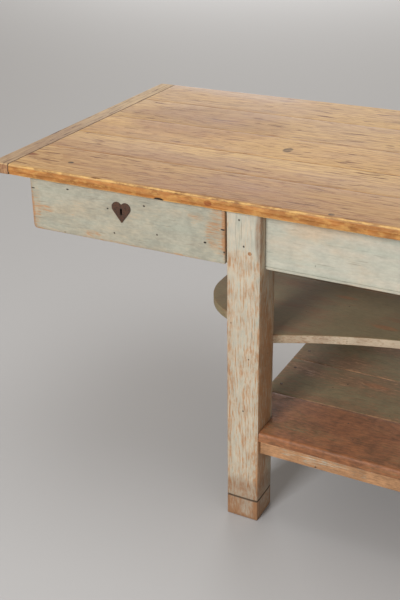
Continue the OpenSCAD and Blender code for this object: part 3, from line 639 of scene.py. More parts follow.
def milk_paint(name, grain, shift, pith, **changes):
    """Casein milk paint on pine, flat and chalky, with the grain of the wood standing through it. Wear
    takes it off the ridges of the grain as streaks, off the arrises, and in patches."""
    look = {**PAINT, **changes}
    material, tree, shader = blank(name)
    wood = sawn_pine(tree, grain, shift, pith, ring=5 * MM)
    facing = add(tree, "SeparateXYZ", {0: add(tree, "NewGeometry")["Normal"]})
    soft_rings = add(tree, "Math", {0: wood["rings"], 1: 0.4}, operation="MULTIPLY")[0]
    bare, deep = colour(look["bare"]), colour(look["deep"])
    wood_tone = add(tree, "Mix", {0: soft_rings, A: bare, B: deep}, **RGBA)[MIXED]
    # brush strokes along the board, and slow changes of tone
    strokes = add(tree, "Mapping", {"Vector": wood["along"], "Scale": repeats(3.0, 60.0)})[0]
    stroke = add(tree, "TexNoise", {"Vector": strokes, "Scale": 1.0, "Detail": 3.0})["Fac"]
    tinted = add(tree, "MapRange", {"Value": stroke, "From Min": 0.35, "From Max": 0.65})[0]
    coat = add(tree, "Mix", {0: tinted, A: colour(look["coat"]), B: colour(look["second"])}, **RGBA)[MIXED]
    if look["edge"]:
        along_y = add(tree, "Math", {0: facing["Y"]}, operation="ABSOLUTE")[0]
        on_edge = add(tree, "MapRange", {"Value": along_y, "From Min": 0.86, "From Max": 0.92})[0]
        coat = add(tree, "Mix", {0: on_edge, A: coat, B: colour(look["edge"])}, **RGBA)[MIXED]
    slow = add(tree, "Mapping", {"Vector": wood["along"], "Scale": repeats(4.0, 9.0)})[0]
    area = add(tree, "TexNoise", {"Vector": slow, "Scale": 1.0, "Detail": 5.0, "Roughness": 0.65})["Fac"]
    thin = add(tree, "MapRange", {"Value": area, "From Min": 0.45, "From Max": 0.72}, **SMOOTH)[0]
    thinned = add(tree, "Mix", {0: thin, A: coat, B: colour(look["thin"])}, **RGBA)[MIXED]
    # wear through to the wood, along ridges of the grain that are 2 to 3 mm apart
    threads = add(tree, "Mapping", {"Vector": wood["bent"], "Scale": repeats(24.0, 420.0)})[0]
    thread = add(tree, "TexNoise", {"Vector": threads, "Scale": 1.0, "Detail": 3.0, "Roughness": 0.6})["Fac"]
    flecks = add(tree, "Mapping", {"Vector": wood["along"], "Scale": repeats(60.0, 210.0)})[0]
    fleck = add(tree, "TexNoise", {"Vector": flecks, "Scale": 1.0, "Detail": 4.0, "Roughness": 0.7})["Fac"]
    worn = add(tree, "Attribute", attribute_name="worn")["Fac"]
    rags = {"Vector": wood["along"], "Scale": 26.0, "Detail": 5.0, "Roughness": 0.7}
    ragged = add(tree, "TexNoise", rags)["Fac"]
    at_edge = add(tree, "Math", {0: worn, 1: ragged}, operation="MULTIPLY")[0]
    # faces along x show more bare wood: partly wear, partly painted shade of the dark sides
    sides_worn_and_shaded = add(tree, "Math", {0: facing["X"]}, operation="ABSOLUTE")[0]
    whole = add(tree, "Math", {0: fleck, 1: 0.45, 2: -0.225}, operation="MULTIPLY_ADD")[0]
    joint = add(tree, "Attribute", attribute_name="joint")["Fac"]
    near_joint = add(tree, "MapRange", {"Value": joint, "From Min": 0.5, "From Max": 1.0})[0]
    shares = [
        (near_joint, look["joint_wear"]),
        (thread, look["streaks"]),
        (at_edge, look["rub"]),
        (area, look["patch"]),
        (sides_worn_and_shaded, look["sides"]),
    ]
    if look["rubbed"]:
        shares.append((spots(tree, wood["place"], look["rubbed"]), 0.14))
    for part, share in shares:
        whole = add(tree, "Math", {0: part, 1: share, 2: whole}, operation="MULTIPLY_ADD")[0]
    through = add(tree, "MapRange", {"Value": whole, "From Min": 0.58, "From Max": 0.76}, **SMOOTH)[0]
    fade = {"Value": whole, "From Min": 0.46, "From Max": 0.64, "To Max": 0.75}
    faded = add(tree, "MapRange", fade, **SMOOTH)[0]
    pale = add(tree, "Mix", {0: faded, A: thinned, B: colour(look["thin"])}, **RGBA)[MIXED]
    showing = add(tree, "Mix", {0: through, A: pale, B: wood_tone}, **RGBA)[MIXED]
    if look["soiled"]:
        soil = spots(tree, wood["place"], look["soiled"])
        dirty = add(tree, "Math", {0: soil, 1: fleck}, operation="MULTIPLY")[0]
        showing = add(tree, "Mix", {0: dirty, A: showing, B: colour("soil")}, **RGBA)[MIXED]
    dirt = {"Value": joint, "From Min": 0.78, "From Max": 0.9, "To Max": look["seam"]}
    in_joint = add(tree, "MapRange", dirt)[0]
    showing = add(tree, "Mix", {0: in_joint, A: showing, B: colour("paint_seam")}, **RGBA)[MIXED]
    # dirt in the open grain, and a few small nail and worm holes
    pores = dashes(tree, wood["bent"], repeats(16.0, 300.0), 0.64, 0.72)
    pore_share = add(tree, "Math", {0: pores, 1: 0.55 * look["streaks"] + 0.1}, operation="MULTIPLY")[0]
    soiled = add(tree, "Mix", {0: pore_share, A: showing, B: colour("paint_pore")}, **RGBA)[MIXED]
    specks = add(tree, "TexVoronoi", {"Vector": wood["along"], "Scale": 38.0, "Randomness": 1.0})
    torn = add(tree, "Math", {0: fleck, 1: 0.3, 2: specks["Distance"]}, operation="MULTIPLY_ADD")[0]
    dot = add(tree, "MapRange", {"Value": torn, "From Min": 0.25, "From Max": 0.19})[0]
    chance = add(tree, "SeparateColor", {0: specks["Color"]})[0]
    some = add(tree, "Math", {0: chance, 1: 0.78}, operation="GREATER_THAN")[0]
    holes = add(tree, "Math", {0: dot, 1: some}, operation="MULTIPLY")[0]
    pocked = add(tree, "Mix", {0: holes, A: soiled, B: colour("worm_hole")}, **RGBA)[MIXED]
    stain = add(tree, "Math", {0: wood["knots"], 1: 0.45}, operation="MULTIPLY")[0]
    knotted = add(tree, "Mix", {0: stain, A: pocked, B: colour("paint_knot")}, **RGBA)[MIXED]
    # what hands and pots have left on it makes its tone uneven
    swing = look["uneven"]
    smear = add(tree, "Math", {0: fleck, 1: ragged}, operation="ADD")[0]
    uneven = add(
        tree,
        "MapRange",
        {"Value": smear, "From Min": 0.8, "From Max": 1.2, "To Min": 1 - swing, "To Max": 1 + swing},
    )[0]
    final = add(tree, "VectorMath", {0: knotted, "Scale": uneven}, operation="SCALE")[0]
    # black marks, and the painted shade inside a keyhole
    if look["marks"]:
        black = spots(tree, wood["place"], look["marks"])
        final = add(tree, "Mix", {0: black, A: final, B: colour("black_mark_and_keyhole_shade")}, **RGBA)[MIXED]
    tree.links.new(final, shader.inputs["Base Color"])
    gloss = add(tree, "MapRange", {"Value": through, "To Min": 0.78, "To Max": 0.58})[0]
    tree.links.new(gloss, shader.inputs["Roughness"])
    coat_edge = add(tree, "Math", {0: thread, 1: through}, operation="SUBTRACT")[0]
    height = add(tree, "Math", {0: coat_edge, 1: holes}, operation="SUBTRACT")[0]
    relief = add(tree, "Bump", {"Height": height, "Distance": 0.4 * MM, "Strength": 0.9})[0]
    tree.links.new(relief, shader.inputs["Normal"])
    return material


def bare_pine(name, grain, tone, shift=(0, 0, 0), pith=(0.02, -0.05)):
    """Pine that was never painted, sawn and planed and gone brown with age: matt, with clear grain."""
    material, tree, shader = blank(name)
    wood = sawn_pine(tree, grain, shift, pith, ring=5 * MM)
    light = colour(tone)
    dark = (light[0] * 0.55, light[1] * 0.47, light[2] * 0.42, 1)
    grained = add(tree, "Mix", {0: wood["rings"], A: light, B: dark}, **RGBA)[MIXED]
    fibre = add(
        tree,
        "MapRange",
        {"Value": wood["fibres"], "From Min": 0.3, "From Max": 0.7, "To Min": 0.85, "To Max": 1.12},
    )[0]
    shaded = add(tree, "VectorMath", {0: grained, "Scale": fibre}, operation="SCALE")[0]
    final = add(tree, "Mix", {0: wood["knots"], A: shaded, B: colour("raw_knot")}, **RGBA)[MIXED]
    tree.links.new(final, shader.inputs["Base Color"])
    shader.inputs["Roughness"].default_value = 0.66
    relief = add(tree, "Bump", {"Height": wood["fibres"], "Distance": 0.2 * MM, "Strength": 0.6})[0]
    tree.links.new(relief, shader.inputs["Normal"])
    return material


def rusted_iron(name):
    """Wrought iron sheet with old brown rust: dark metal in the hollows of the hammering, and matt rust
    over it."""
    material, tree, shader = blank(name)
    place = add(tree, "TexCoord")["Object"]
    # rust blooms are 1 to 4 mm across
    blooms = {"Vector": place, "Scale": 420.0, "Detail": 5.0, "Roughness": 0.7}
    bloom = add(tree, "TexNoise", blooms)["Fac"]
    cover = add(tree, "MapRange", {"Value": bloom, "From Min": 0.36, "From Max": 0.56})[0]
    tone = add(tree, "Mix", {0: cover, A: colour("iron"), B: colour("rust")}, **RGBA)[MIXED]
    tree.links.new(tone, shader.inputs["Base Color"])
    shader.inputs["Metallic"].default_value = 0.35
    rough = add(tree, "MapRange", {"Value": cover, "To Min": 0.42, "To Max": 0.8})[0]
    tree.links.new(rough, shader.inputs["Roughness"])
    relief = add(tree, "Bump", {"Height": bloom, "Distance": 0.3 * MM, "Strength": 0.7})[0]
    tree.links.new(relief, shader.inputs["Normal"])
    return material


# ---- Operators ----


# each lamp's name, width and place; they all face one point, a little left of the table's middle
LAMPS = (
    ("key", 1.6, (-1.4, -5.8, 3.4)),
    ("overhead", 3.0, (-0.4, 0.2, 4.4)),
    ("fill", 3.0, (3.2, -3.0, 2.2)),
    ("bounce", 5.0, (-4.5, 9.0, 3.2)),
)
LIT_POINT = Vector((-0.3, 0, 0.5))
FLOOR_WIDTH = 60


class WORKTABLE_OT_stage(bpy.types.Operator):
    """Lay the plain floor, light it softly and set up the camera"""

    bl_idname = "worktable.stage"
    bl_label = "Floor, Lights and Camera"

    def execute(self, context):
        scene = context.scene
        studio = scene.work_table_studio
        floor = begin("floor", bpy.ops.mesh.primitive_plane_add, size=FLOOR_WIDTH, location=(0, 0, 0))
        material, _, shader = blank("plain painted floor")
        shader.inputs["Base Color"].default_value = colour("floor")
        shader.inputs["Roughness"].default_value = 0.85
        floor.data.materials.append(material)
        world = bpy.data.worlds.new("room")
        world.use_nodes = True
        surroundings = world.node_tree.nodes["Background"]
        surroundings.inputs["Color"].default_value = colour("sky")
        surroundings.inputs["Strength"].default_value = studio.room
        scene.world = world
        for name, size, place in LAMPS:
            self.lamp(name, getattr(studio, name), size, place)
        self.camera(scene, studio)
        scene.view_settings.view_transform = "Standard"
        return {"FINISHED"}

    def lamp(self, name, power, size, place):
        """A square soft light that faces the table."""
        deselect()
        bpy.ops.object.light_add(type="AREA", location=place)
        lamp = bpy.context.active_object
        lamp.name = name
        lamp.data.energy = power
        lamp.data.size = size
        lamp.visible_camera = False
        lamp.rotation_euler = (LIT_POINT - Vector(place)).to_track_quat("-Z", "Y").to_euler()

    def camera(self, scene, studio):
        """Place the camera from its turn, tilt and roll."""
        deselect()
        bpy.ops.object.camera_add()
        camera = bpy.context.active_object
        camera.name = "camera"
        turn, tilt, roll = studio.turn, studio.tilt, studio.roll
        level = Matrix.Rotation(turn, 4, "Z") @ Matrix.Rotation(math.pi / 2 - tilt, 4, "X")
        camera.matrix_world = Matrix.Translation(studio.camera) @ level @ Matrix.Rotation(roll, 4, "Z")
        camera.data.lens = studio.focal
        camera.data.sensor_width = 36
        camera.data.shift_x = studio.shift
        scene.camera = camera


# each plank's grain offset, place of the pith across and under the face, tone, and dirt in the joint
# behind it
PLANKS = [
    ((0.3, 0.0, 0.0), (-0.30, 0.70), 0.02, 0.35),
    ((2.1, 0.0, 0.0), (-0.21, 0.70), 0.02, 0.5),
    ((5.3, 0.0, 0.0), (0.02, 0.73), 0.05, 0.85),
    ((8.7, 0.0, 0.0), (0.16, 0.71), 0.0, 0.15),
    ((11.2, 0.0, 0.0), (0.33, 0.72), 0.0, 0.0),
]

# browner parts of the top, where hands and pots have been, and black stains in it
BROWN = [
    ((-750, -330, 780), (620, 190, 90)),
    ((700, -330, 780), (500, 150, 90)),
    ((-900, 90, 780), (260, 160, 90)),
]
STAINS = [
    ((-631, -39, 780), (13, 20, 4)),
    ((-400, -374, 780), (8, 7, 4)),
    ((-1030, -320, 780), (9, 7, 4)),
]
# a red knot in the front edge, and a void there that is not cut but painted dark as the shade in its hollow
KNOTS = [((-657, -388, 766), (10, 4, 8))]
VOIDS = [((-771, -388, 757), (14, 5, 4))]


class WORKTABLE_OT_top(bpy.types.Operator):
    """Build the planks and the breadboard ends of the top"""

    bl_idname = "worktable.top"
    bl_label = "Top"

    def execute(self, context):
        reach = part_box("breadboard_left")[1].x
        last = len(PLANKS)
        for number, (shift, pith, tone, seam) in enumerate(PLANKS, 1):
            node = f"top_plank_{number}"
            low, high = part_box(node)
            low.x, high.x = reach, -reach
            front, back = number == 1, number == last
            outer = "-y" if front else "+y" if back else ""
            rounds = [(outer, "+z", sizes().top_arris)] if outer else []
            look = {"tone": tone, "seam": seam, "stains": STAINS, "tinted": BROWN}
            if front:
                look.update(marks=VOIDS, red_marks=KNOTS)
            material = oiled_pine(f"oiled pine, plank {number}", "x", shift, pith, **look)
            worn_board(
                node,
                material,
                "oiled_pine",
                "x",
                [(outer, "+z"), (outer, "-z")] if outer else [],
                rounds,
                low=low,
                high=high,
                joints=[] if back else ["+y"],
                step=(9 if outer else 24) * MM,
                chips=1 if outer else 0.3,
                cutters=[self.pocket(side) for side in SIDES] if front else [],
            )
        for side, sign in zip(SIDES, (-1, 1)):
            outer = "-x" if sign < 0 else "+x"
            inner = "+x" if sign < 0 else "-x"
            material = oiled_pine(
                f"oiled pine, {side} end",
                "y",
                (4.4 * sign, 0.3, 0),
                (1.2 * sign, 0.74),
                tone=-0.16,
                seam=0.85,
                chips=0.9,
                tinted=[((1200 * sign, -388, 780), (90, 420, 90))],
            )
            worn_board(
                f"breadboard_{side}",
                material,
                "end_pine",
                "y",
                [(outer, "+z"), (outer, "-z"), ("-y", "+z"), ("+y", "+z")],
                [(outer, "+z", sizes().top_arris)],
                joints=[inner],
                arris=sizes().board_arris,
                step=9 * MM,
                chips=0.8,
            )
        return {"FINISHED"}

    def pocket(self, side):
        """A cutter for the pocket that a lock bolt rises into."""
        low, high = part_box(f"{side}_lock_bolt")
        play = Vector((1, 1, 1)) * sizes().bolt_play
        high.z += sizes().bolt_throw
        return block("pocket", low - play, high + play)


class WORKTABLE_OT_legs(bpy.types.Operator):
    """Build the four legs and the blocks that lengthen them"""

    bl_idname = "worktable.legs"
    bl_label = "Legs and Feet"

    def execute(self, context):
        for number, (row, side) in enumerate((r, s) for r in ("front", "back") for s in SIDES):
            low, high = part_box(f"leg_{row}_{side}")
            middle = (low + high) / 2
            # turned so that the grain is up, the pith's place is measured along y and then along -x
            pith = (middle.y + 0.02, -middle.x - 0.05)
            shift = (3.1 * number, 0, 0)
            centre_x, centre_y = middle.x / MM, middle.y / MM
            # painted shade darkens the arris by the apron; the paint is rubbed around and below the peg
            inner_x = (high.x if side == "left" else low.x) / MM
            outer_y = (low.y if row == "front" else high.y) / MM
            leg = milk_paint(
                f"rubbed milk paint, {row} {side} leg",
                "z",
                shift,
                pith,
                streaks=0.6,
                rub=0.06,
                patch=0.36,
                # more bare wood on the faces along x: partly wear, partly painted shade of the dark sides
                sides=0.11,
                seam=0.85,
                rubbed=[((centre_x, outer_y, 330), (140, 90, 360)), ((centre_x, outer_y, 640), (45, 30, 40))],
                soiled=[
                    ((centre_x, centre_y, low.z / MM), (90, 90, 75)),
                    # painted shade beside the recessed apron
                    ((inner_x, outer_y, 705), (15, 20, 70)),
                ],
            )
            foot = milk_paint(
                f"scuffed milk paint, {row} {side} foot",
                "z",
                shift,
                pith,
                coat="paint_worn",
                second="paint",
                thin="bare",
                streaks=0.45,
                rub=0.4,
                patch=0.66,
                seam=0.85,
                soiled=[((centre_x, centre_y, 0), (110, 110, 110))],
            )
            uprights = [(x, y) for x in ("-x", "+x") for y in ("-y", "+y")]
            rim = [(face, "-z") for face in ("-x", "+x", "-y", "+y")]
            look = {"step": 12 * MM, "arris": sizes().board_arris, "chips": 0.6}
            worn_board(f"leg_{row}_{side}", leg, "grey_green_paint", "z", uprights, joints=["-z"], **look)
            worn_board(f"foot_{row}_{side}", foot, "foot_wood", "z", uprights + rim, joints=["+z"], **look)
        return {"FINISHED"}


# the front and back rails have lost most of their paint
WORN_OFF = {"streaks": 0.7, "rub": 0.9, "patch": 0.95, "uneven": 0.26}


class WORKTABLE_OT_rails(bpy.types.Operator):
    """Build the aprons under the top and the rails under the lower shelf"""

    bl_idname = "worktable.rails"
    bl_label = "Aprons and Rails"

    def execute(self, context):
        inner_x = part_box("leg_front_left")[1].x
        inner_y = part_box("leg_front_left")[1].y
        for number, row in enumerate(("front", "back")):
            outer = "-y" if row == "front" else "+y"
            for node, slot, look in (
                (f"apron_{row}", "grey_green_paint", {"streaks": 0.35, "rub": 0.4, "patch": 0.42}),
                (f"lower_rail_{row}", "orange_pine", WORN_OFF),
            ):
                low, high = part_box(node)
                low.x, high.x = inner_x, -inner_x
                middle = (low + high) / 2
                pith = (middle.y + 0.06, middle.z - 0.25)
                shift = (1.7 + 5 * number, 0, 0)
                material = milk_paint(f"milk paint, {node}", "x", shift, pith, **look)
                cutters = [self.bead_groove(low, high, outer)] if node.startswith("apron") else []
                worn_board(node, material, slot, "x", [(outer, "-z")], low=low, high=high, cutters=cutters)
        for side in SIDES:
            for node in (f"end_rail_{side}", f"lower_rail_{side}"):
                low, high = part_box(node)
                low.y, high.y = inner_y, -inner_y
                material = milk_paint(f"milk paint, {node}", "y", (0.4, 0, 0), (0.6, 0.4))
                slot = "grey_green_paint" if node.startswith("end") else "orange_pine"
                worn_board(node, material, slot, "y", low=low, high=high)
        return {"FINISHED"}

    def bead_groove(self, low, high, outer):
        """A cutter for the groove that sets off the bead along the lower edge of an apron."""
        depth = sizes().bead_groove
        y = low.y if outer == "-y" else high.y
        z = low.z + sizes().bead
        return block(
            "groove",
            Vector((low.x - depth, y - depth, z)),
            Vector((high.x + depth, y + depth, z + depth)),
        )


class WORKTABLE_OT_lower_shelf(bpy.types.Operator):
    """Build the boards of the lower shelf, with the outer two notched around the legs"""

    bl_idname = "worktable.lower_shelf"
    bl_label = "Lower Shelf"

    def execute(self, context):
        for number in range(1, 5):
            node = f"lower_board_{number}"
            low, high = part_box(node)
            outer = {1: "-y", 4: "+y"}.get(number)
            rounds = [(outer, "+z", sizes().shelf_arris)] if outer else []
            pith = ((low.y + high.y) / 2 + 0.03, low.z - 0.06)
            shift = (2.3 * number, 0, 0)
            look = {"coat": "shelf_paint", "second": "shelf_paint", "thin": "shelf_thin", "patch": 0.58}
            look.update(joint_wear=0.1, uneven=0.16)
            if number == 1:
                look.update(bare="shelf_bare", deep="shelf_deep", thin="shelf_bare")
                look.update(patch=0.85, streaks=0.62, uneven=0.36)
            material = milk_paint(f"worn olive paint, shelf board {number}", "x", shift, pith, **look)
            slot = "red_brown_pine" if number == 1 else "shelf_paint"
            piece = board(node.replace("_", "-"), low, high, "x", rounds)
            if outer:
                for side in SIDES:
                    self.notch(piece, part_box(f"leg_{'front' if number == 1 else 'back'}_{side}"))
            joints = [side for side in ("-y", "+y") if side != outer]
            mark_wear(piece, low, high, [(outer, "+z")] if outer else [], joints)
            dent(piece, sizes().ripple, WAVE_LENGTH)
            finish_piece(piece, "table", slot, material, node)
        return {"FINISHED"}

    def notch(self, piece, leg_box):
        """Cut away what would stand inside a leg, with a little play."""
        play = Vector((0.4, 0.4, 0)) * MM
        low, high = leg_box[0] - play, leg_box[1] + play
        grow = 2 * MM
        if low.y < 0:
            low.y -= grow
        else:
            high.y += grow
        carve(piece, block("notch", low, high))


# sides of the circle that cuts the hollow edge, and the bend below which its edges are merged
HOLLOW_SIDES = 720
FLAT_EDGE = math.radians(0.2)
# the inset face of the shelf has more corners than this, and no other level face has
MANY = 20


class WORKTABLE_OT_middle_shelf(bpy.types.Operator):
    """Build the two boards of the middle shelf, with round ends and hollow long edges"""

    bl_idname = "worktable.middle_shelf"
    bl_label = "Middle Shelf"

    def execute(self, context):
        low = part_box("mid_shelf_front")[0]
        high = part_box("mid_shelf_back")[1]
        leg_low, leg_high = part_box("leg_front_left")
        thick = high.z - low.z
        middle = (low.z + high.z) / 2
        # the hollow edges are arcs through the corners of the legs
        hollow = self.hollow_depth(low)
        edge_radius = (leg_high.x**2 + hollow**2) / (2 * hollow)
        for row, sign in (("front", -1), ("back", 1)):
            node = f"mid_shelf_{row}"
            node_low, node_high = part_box(node)
            wide_low, wide_high = node_low.copy(), node_high.copy()
            wide_low.x, wide_high.x = leg_low.x, -leg_low.x
            piece = block(node.replace("_", "-"), wide_low, wide_high)
            carve(piece, self.round_ends(node_low, node_high, sign), "UNION")
            y = sign * (abs(low.y) - hollow + edge_radius)
            carve(piece, disc("hollow", edge_radius, thick * 2, (0, y, middle), HOLLOW_SIDES))
            bpy.ops.object.mode_set(mode="EDIT")
            bpy.ops.mesh.select_mode(type="EDGE")
            bpy.ops.mesh.select_all(action="SELECT")
            bpy.ops.mesh.dissolve_limited(angle_limit=FLAT_EDGE)
            choose_sharp()
            bpy.ops.mesh.bevel(offset=sizes().board_arris, segments=3, affect="EDGES", clamp_overlap=True)
            choose(piece, "faces", lambda f: abs(f.normal.z) > LEVEL)
            bpy.ops.mesh.inset(thickness=0.5 * sizes().wear_reach, depth=0)
            bpy.ops.object.mode_set(mode="OBJECT")
            self.mark_rim(piece, node_low, node_high)
            material = milk_paint(
                f"olive paint, middle shelf, {row}",
                "x",
                (6.1 + 3 * sign, 0, 0),
                (0.2 * sign, 0.41),
                coat="shelf_paint",
                second="shelf_paint",
                thin="shelf_thin",
                edge="paint_worn",
                rub=0.06,
                patch=0.42,
            )
            finish_piece(piece, "table", "shelf_paint", material, node)
        return {"FINISHED"}

    def hollow_depth(self, low):
        """Depth of the hollow edge, read from the CAD board at its middle."""
        mesh = frame["nodes"]["mid_shelf_front"].data
        nearest = min(mesh.vertices, key=lambda v: abs(v.co.x) + 10 * max(0, v.co.y + 0.1))
        return nearest.co.y - low.y

    def round_ends(self, low, high, sign):
        """The narrower board with round corners that stands out past the legs at both ends."""
        low.y -= min(sign, 0) * sizes().shelf_shoulder
        high.y -= max(sign, 0) * sizes().shelf_shoulder
        outer_y = low.y if sign < 0 else high.y
        ends = block("round_ends", low, high)
        bpy.ops.object.mode_set(mode="EDIT")
        choose(ends, "edges", lambda e: all(abs(v.co.y - outer_y) < MM for v in e.verts) and upright(e))
        bpy.ops.mesh.bevel(offset=sizes().shelf_corner, segments=48, affect="EDGES")
        bpy.ops.object.mode_set(mode="OBJECT")
        return ends

    def mark_rim(self, piece, low, high):
        """Mark the rim of the shelf as worn: every point that isn't on the inset faces."""
        worn = piece.data.attributes.new("worn", "FLOAT", "POINT")
        joint_y = high.y if abs(high.y) < abs(low.y) else low.y
        inner = set()
        for face in piece.data.polygons:
            if abs(face.normal.z) > LEVEL and len(face.vertices) > MANY:
                inner.update(face.vertices)
        for vertex in piece.data.vertices:
            whole = vertex.index in inner or abs(vertex.co.y - joint_y) < 0.6 * sizes().wear_reach
            worn.data[vertex.index].value = 0.0 if whole else 1.0


class WORKTABLE_OT_drawer_fronts(bpy.types.Operator):
    """Build the drawer fronts, with their keyholes"""

    bl_idname = "worktable.drawer_fronts"
    bl_label = "Drawer Fronts"

    def execute(self, context):
        for side, sign in zip(SIDES, (-1, 1)):
            node = f"{side}_drawer_front"
            low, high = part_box(node)
            outer = "-x" if sign < 0 else "+x"
            inner = "+x" if sign < 0 else "-x"
            rounds = [(outer, "-z", sizes().front_corner)]
            rubbed = [("-y", side_name) for side_name in (outer, inner, "-z", "+z")]
            key_x, key_z = keyhole_of(side)[0]
            rubbed_spots = [
                ((sign * x, -373, z), half)
                for x, z, half in (
                    (642, 700, (36, 30, 60)),
                    (1102, 700, (26, 30, 80)),
                    (692, 725, (26, 30, 13)),
                    (1072, 683, (30, 30, 10)),
                    (946, 645, (24, 30, 9)),
                )
            ]
            # small black marks on its face
            marks = [
                ((sign * x, -373, z), half)
                for x, z, half in (
                    (631, 708, (6, 3, 2.2)),
                    (906, 710, (3, 3, 2)),
                    (815, 730, (3.5, 3, 2.2)),
                    (672, 673, (4, 3, 2.6)),
                    (1007, 738, (4, 3, 2)),
                    (1099, 728, (6, 3, 1.6)),
                )
            ]
            # painted shade: the walls inside the keyhole are painted dark, as the shade in the hole
            marks.append(((key_x / MM, -360, key_z / MM), (7, 22, 16)))
            material = milk_paint(
                f"milk paint, {side} drawer front",
                "x",
                (0.9 * sign, 0, 0),
                (-0.3, 0.42),
                # darker copies of the paint: painted shade on the front
                coat="paint_shaded",
                second="paint_shaded_green",
                thin="paint_dull_worn",
                uneven=0.14,
                streaks=0.44,
                rub=0.42,
                patch=0.5,
                rubbed=rubbed_spots,
                marks=marks,
            )
            piece = board(node.replace("_", "-"), low, high, "x", rounds, 12 * MM, sizes().front_arris)
            mark_wear(piece, low, high, rubbed)
            dent(piece, sizes().ripple * 0.5, WAVE_LENGTH)
            dent(piece, sizes().dent * 0.3, FRONT_DENT_LENGTH, "arrises")
            carve(piece, keyhole_cutter(side, low, high))
            finish_piece(piece, f"{side}_drawer", "grey_green_paint", material, node)
        return {"FINISHED"}


def keyhole_of(side):
    """Centre in x and z, width and height of a keyhole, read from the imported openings."""
    for opening in frame["record"]["physics"]["openings"]:
        if opening["name"] == f"{side}_keyhole":
            low, high = (Vector(corner) for corner in opening["box_m"])
            # the opening keeps clear of the keyhole's sides, and leaves out its round ends
            margin = 0.4 * MM
            round_end = 1.5 * MM
            return (
                ((low.x + high.x) / 2, (low.z + high.z) / 2),
                high.x - low.x + 2 * margin,
                high.z - low.z + 2 * round_end,
            )
    raise ValueError(f"no opening for the {side} keyhole")


def keyhole_cutter(side, low, high):
    """A cutter with the keyhole's round ends, through the board or plate between low and high."""
    (x, z), width, tall = keyhole_of(side)
    place = (x, (low.y + high.y) / 2, z)
    cutter = disc("keyhole", width / 2, (high.y - low.y) * 3, place, 24, ALONG_Y)
    bpy.ops.object.mode_set(mode="EDIT")
    for sign in (-1, 1):
        choose(cutter, "verts", lambda v: (v.co.z - z) * sign > TOUCH)
        bpy.ops.transform.translate(value=(0, 0, sign * (tall - width) / 2))
    bpy.ops.object.mode_set(mode="OBJECT")
    return cutter


class WORKTABLE_OT_drawer_boxes(bpy.types.Operator):
    """Build the sides, backs and bottoms of the drawers"""

    bl_idname = "worktable.drawer_boxes"
    bl_label = "Drawer Boxes"

    def execute(self, context):
        for side in SIDES:
            for part, grain in (("side_outer", "y"), ("side_inner", "y"), ("back", "x"), ("bottom", "x")):
                node = f"{side}_drawer_{part}"
                low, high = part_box(node)
                if grain == "y":
                    low.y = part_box(f"{side}_drawer_front")[1].y
                pith = ((low.y + high.y) / 2 + 0.02, low.z - 0.05)
                if grain == "y":
                    pith = (-(low.x + high.x) / 2 + 0.06, low.z + 0.03)
                material = bare_pine(f"aged pine, {node}", grain, "raw", (0.3, 0, 0), pith)
                piece = board(node.replace("_", "-"), low, high, grain, step=40 * MM)
                mark_wear(piece, low, high)
                finish_piece(piece, f"{side}_drawer", "raw_pine", material, node)
        return {"FINISHED"}


class WORKTABLE_OT_hearts(bpy.types.Operator):
    """Build the iron hearts around the keyholes, and give their pins the same iron"""

    bl_idname = "worktable.hearts"
    bl_label = "Iron Hearts"

    def execute(self, context):
        iron = rusted_iron("wrought iron, rusted")
        for side in SIDES:
            node = f"{side}_heart"
            low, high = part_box(node)
            piece = self.half("heart", low, high, -1)
            carve(piece, self.half("half", low, high, 1), "UNION")
            piece.name = piece.data.name = node.replace("_", "-")
            bpy.ops.object.mode_set(mode="EDIT")
            choose_sharp(math.radians(60))
            bpy.ops.mesh.bevel(offset=sizes().heart_edge, segments=3, affect="EDGES", clamp_overlap=True)
            bpy.ops.object.mode_set(mode="OBJECT")
            carve(piece, keyhole_cutter(side, low, high))
            finish_piece(piece, f"{side}_drawer", "rusty_iron", iron, node)
        dress(iron, "left_heart_pins", "right_heart_pins")
        return {"FINISHED"}

    def half(self, name, low, high, sign):
        """One lobe of the heart and all that lies between it and the tip, as the hull of two discs."""
        lobe = sizes().heart_lobe
        tip = sizes().heart_tip
        middle = (low + high) / 2
        out = sign * ((high.x - low.x) / 2 - lobe)
        thick = high.y - low.y
        piece = disc(name, lobe, thick, (middle.x + out, middle.y, high.z - lobe), 48, ALONG_Y)
        bpy.ops.object.mode_set(mode="EDIT")
        bpy.ops.mesh.primitive_cylinder_add(
            radius=tip,
            depth=thick,
            location=(middle.x, middle.y, low.z + tip),
            rotation=ALONG_Y,
            vertices=12,
        )
        bpy.ops.mesh.select_all(action="SELECT")
        bpy.ops.mesh.convex_hull()
        bpy.ops.object.mode_set(mode="OBJECT")
        return piece


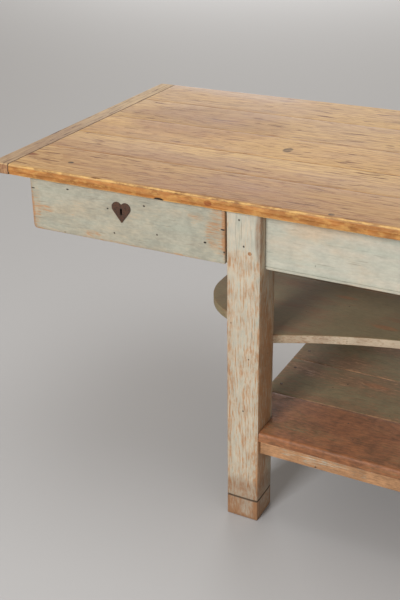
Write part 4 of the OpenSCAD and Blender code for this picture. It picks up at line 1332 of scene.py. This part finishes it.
class WORKTABLE_OT_fittings(bpy.types.Operator):
    """Give the parts that keep their CAD shape their materials"""

    bl_idname = "worktable.fittings"
    bl_label = "Fittings"

    def execute(self, context):
        raw = bare_pine("aged pine, along the depth", "y", "raw")
        pegs = bare_pine("aged pine, pegs and dowels", "z", "bare")
        iron = rusted_iron("wrought iron, locks and nails")
        dress(raw, "batten_left", "batten_right", "glue_blocks", "drawer_hangers", "drawer_ledges")
        dress(raw, "left_drawer_strips", "right_drawer_strips")
        dress(pegs, "breadboard_pegs", "foot_dowels", "frame_pegs")
        dress(iron, "wood_screws", "shelf_nails", "left_lock_case", "right_lock_case")
        dress(iron, "left_lock_bolt", "right_lock_bolt")
        return {"FINISHED"}


OPERATORS = (
    WORKTABLE_OT_stage,
    WORKTABLE_OT_top,
    WORKTABLE_OT_legs,
    WORKTABLE_OT_rails,
    WORKTABLE_OT_lower_shelf,
    WORKTABLE_OT_middle_shelf,
    WORKTABLE_OT_drawer_fronts,
    WORKTABLE_OT_drawer_boxes,
    WORKTABLE_OT_hearts,
    WORKTABLE_OT_fittings,
)


class WORKTABLE_PT_panel(bpy.types.Panel):
    """The steps that build the table, in order"""

    bl_idname = "WORKTABLE_PT_panel"
    bl_label = "Work Table"
    bl_space_type = "VIEW_3D"
    bl_region_type = "UI"
    bl_category = "Work Table"

    def draw(self, context):
        for operator in OPERATORS:
            self.layout.operator(operator.bl_idname)


CLASSES = (WORKTABLE_PG_sizes, WORKTABLE_PG_colours, WORKTABLE_PG_studio, *OPERATORS, WORKTABLE_PT_panel)


def register():
    for kind in CLASSES:
        bpy.utils.register_class(kind)
    bpy.types.Scene.work_table_sizes = PointerProperty(type=WORKTABLE_PG_sizes)
    bpy.types.Scene.work_table_colours = PointerProperty(type=WORKTABLE_PG_colours)
    bpy.types.Scene.work_table_studio = PointerProperty(type=WORKTABLE_PG_studio)


def unregister():
    del bpy.types.Scene.work_table_studio
    del bpy.types.Scene.work_table_colours
    del bpy.types.Scene.work_table_sizes
    for kind in reversed(CLASSES):
        bpy.utils.unregister_class(kind)


def main():
    """Register the add-on and run its operators in order."""
    register()
    for operator in OPERATORS:
        group, name = operator.bl_idname.split(".")
        getattr(getattr(bpy.ops, group), name)()


if __name__ == "__main__":
    main()
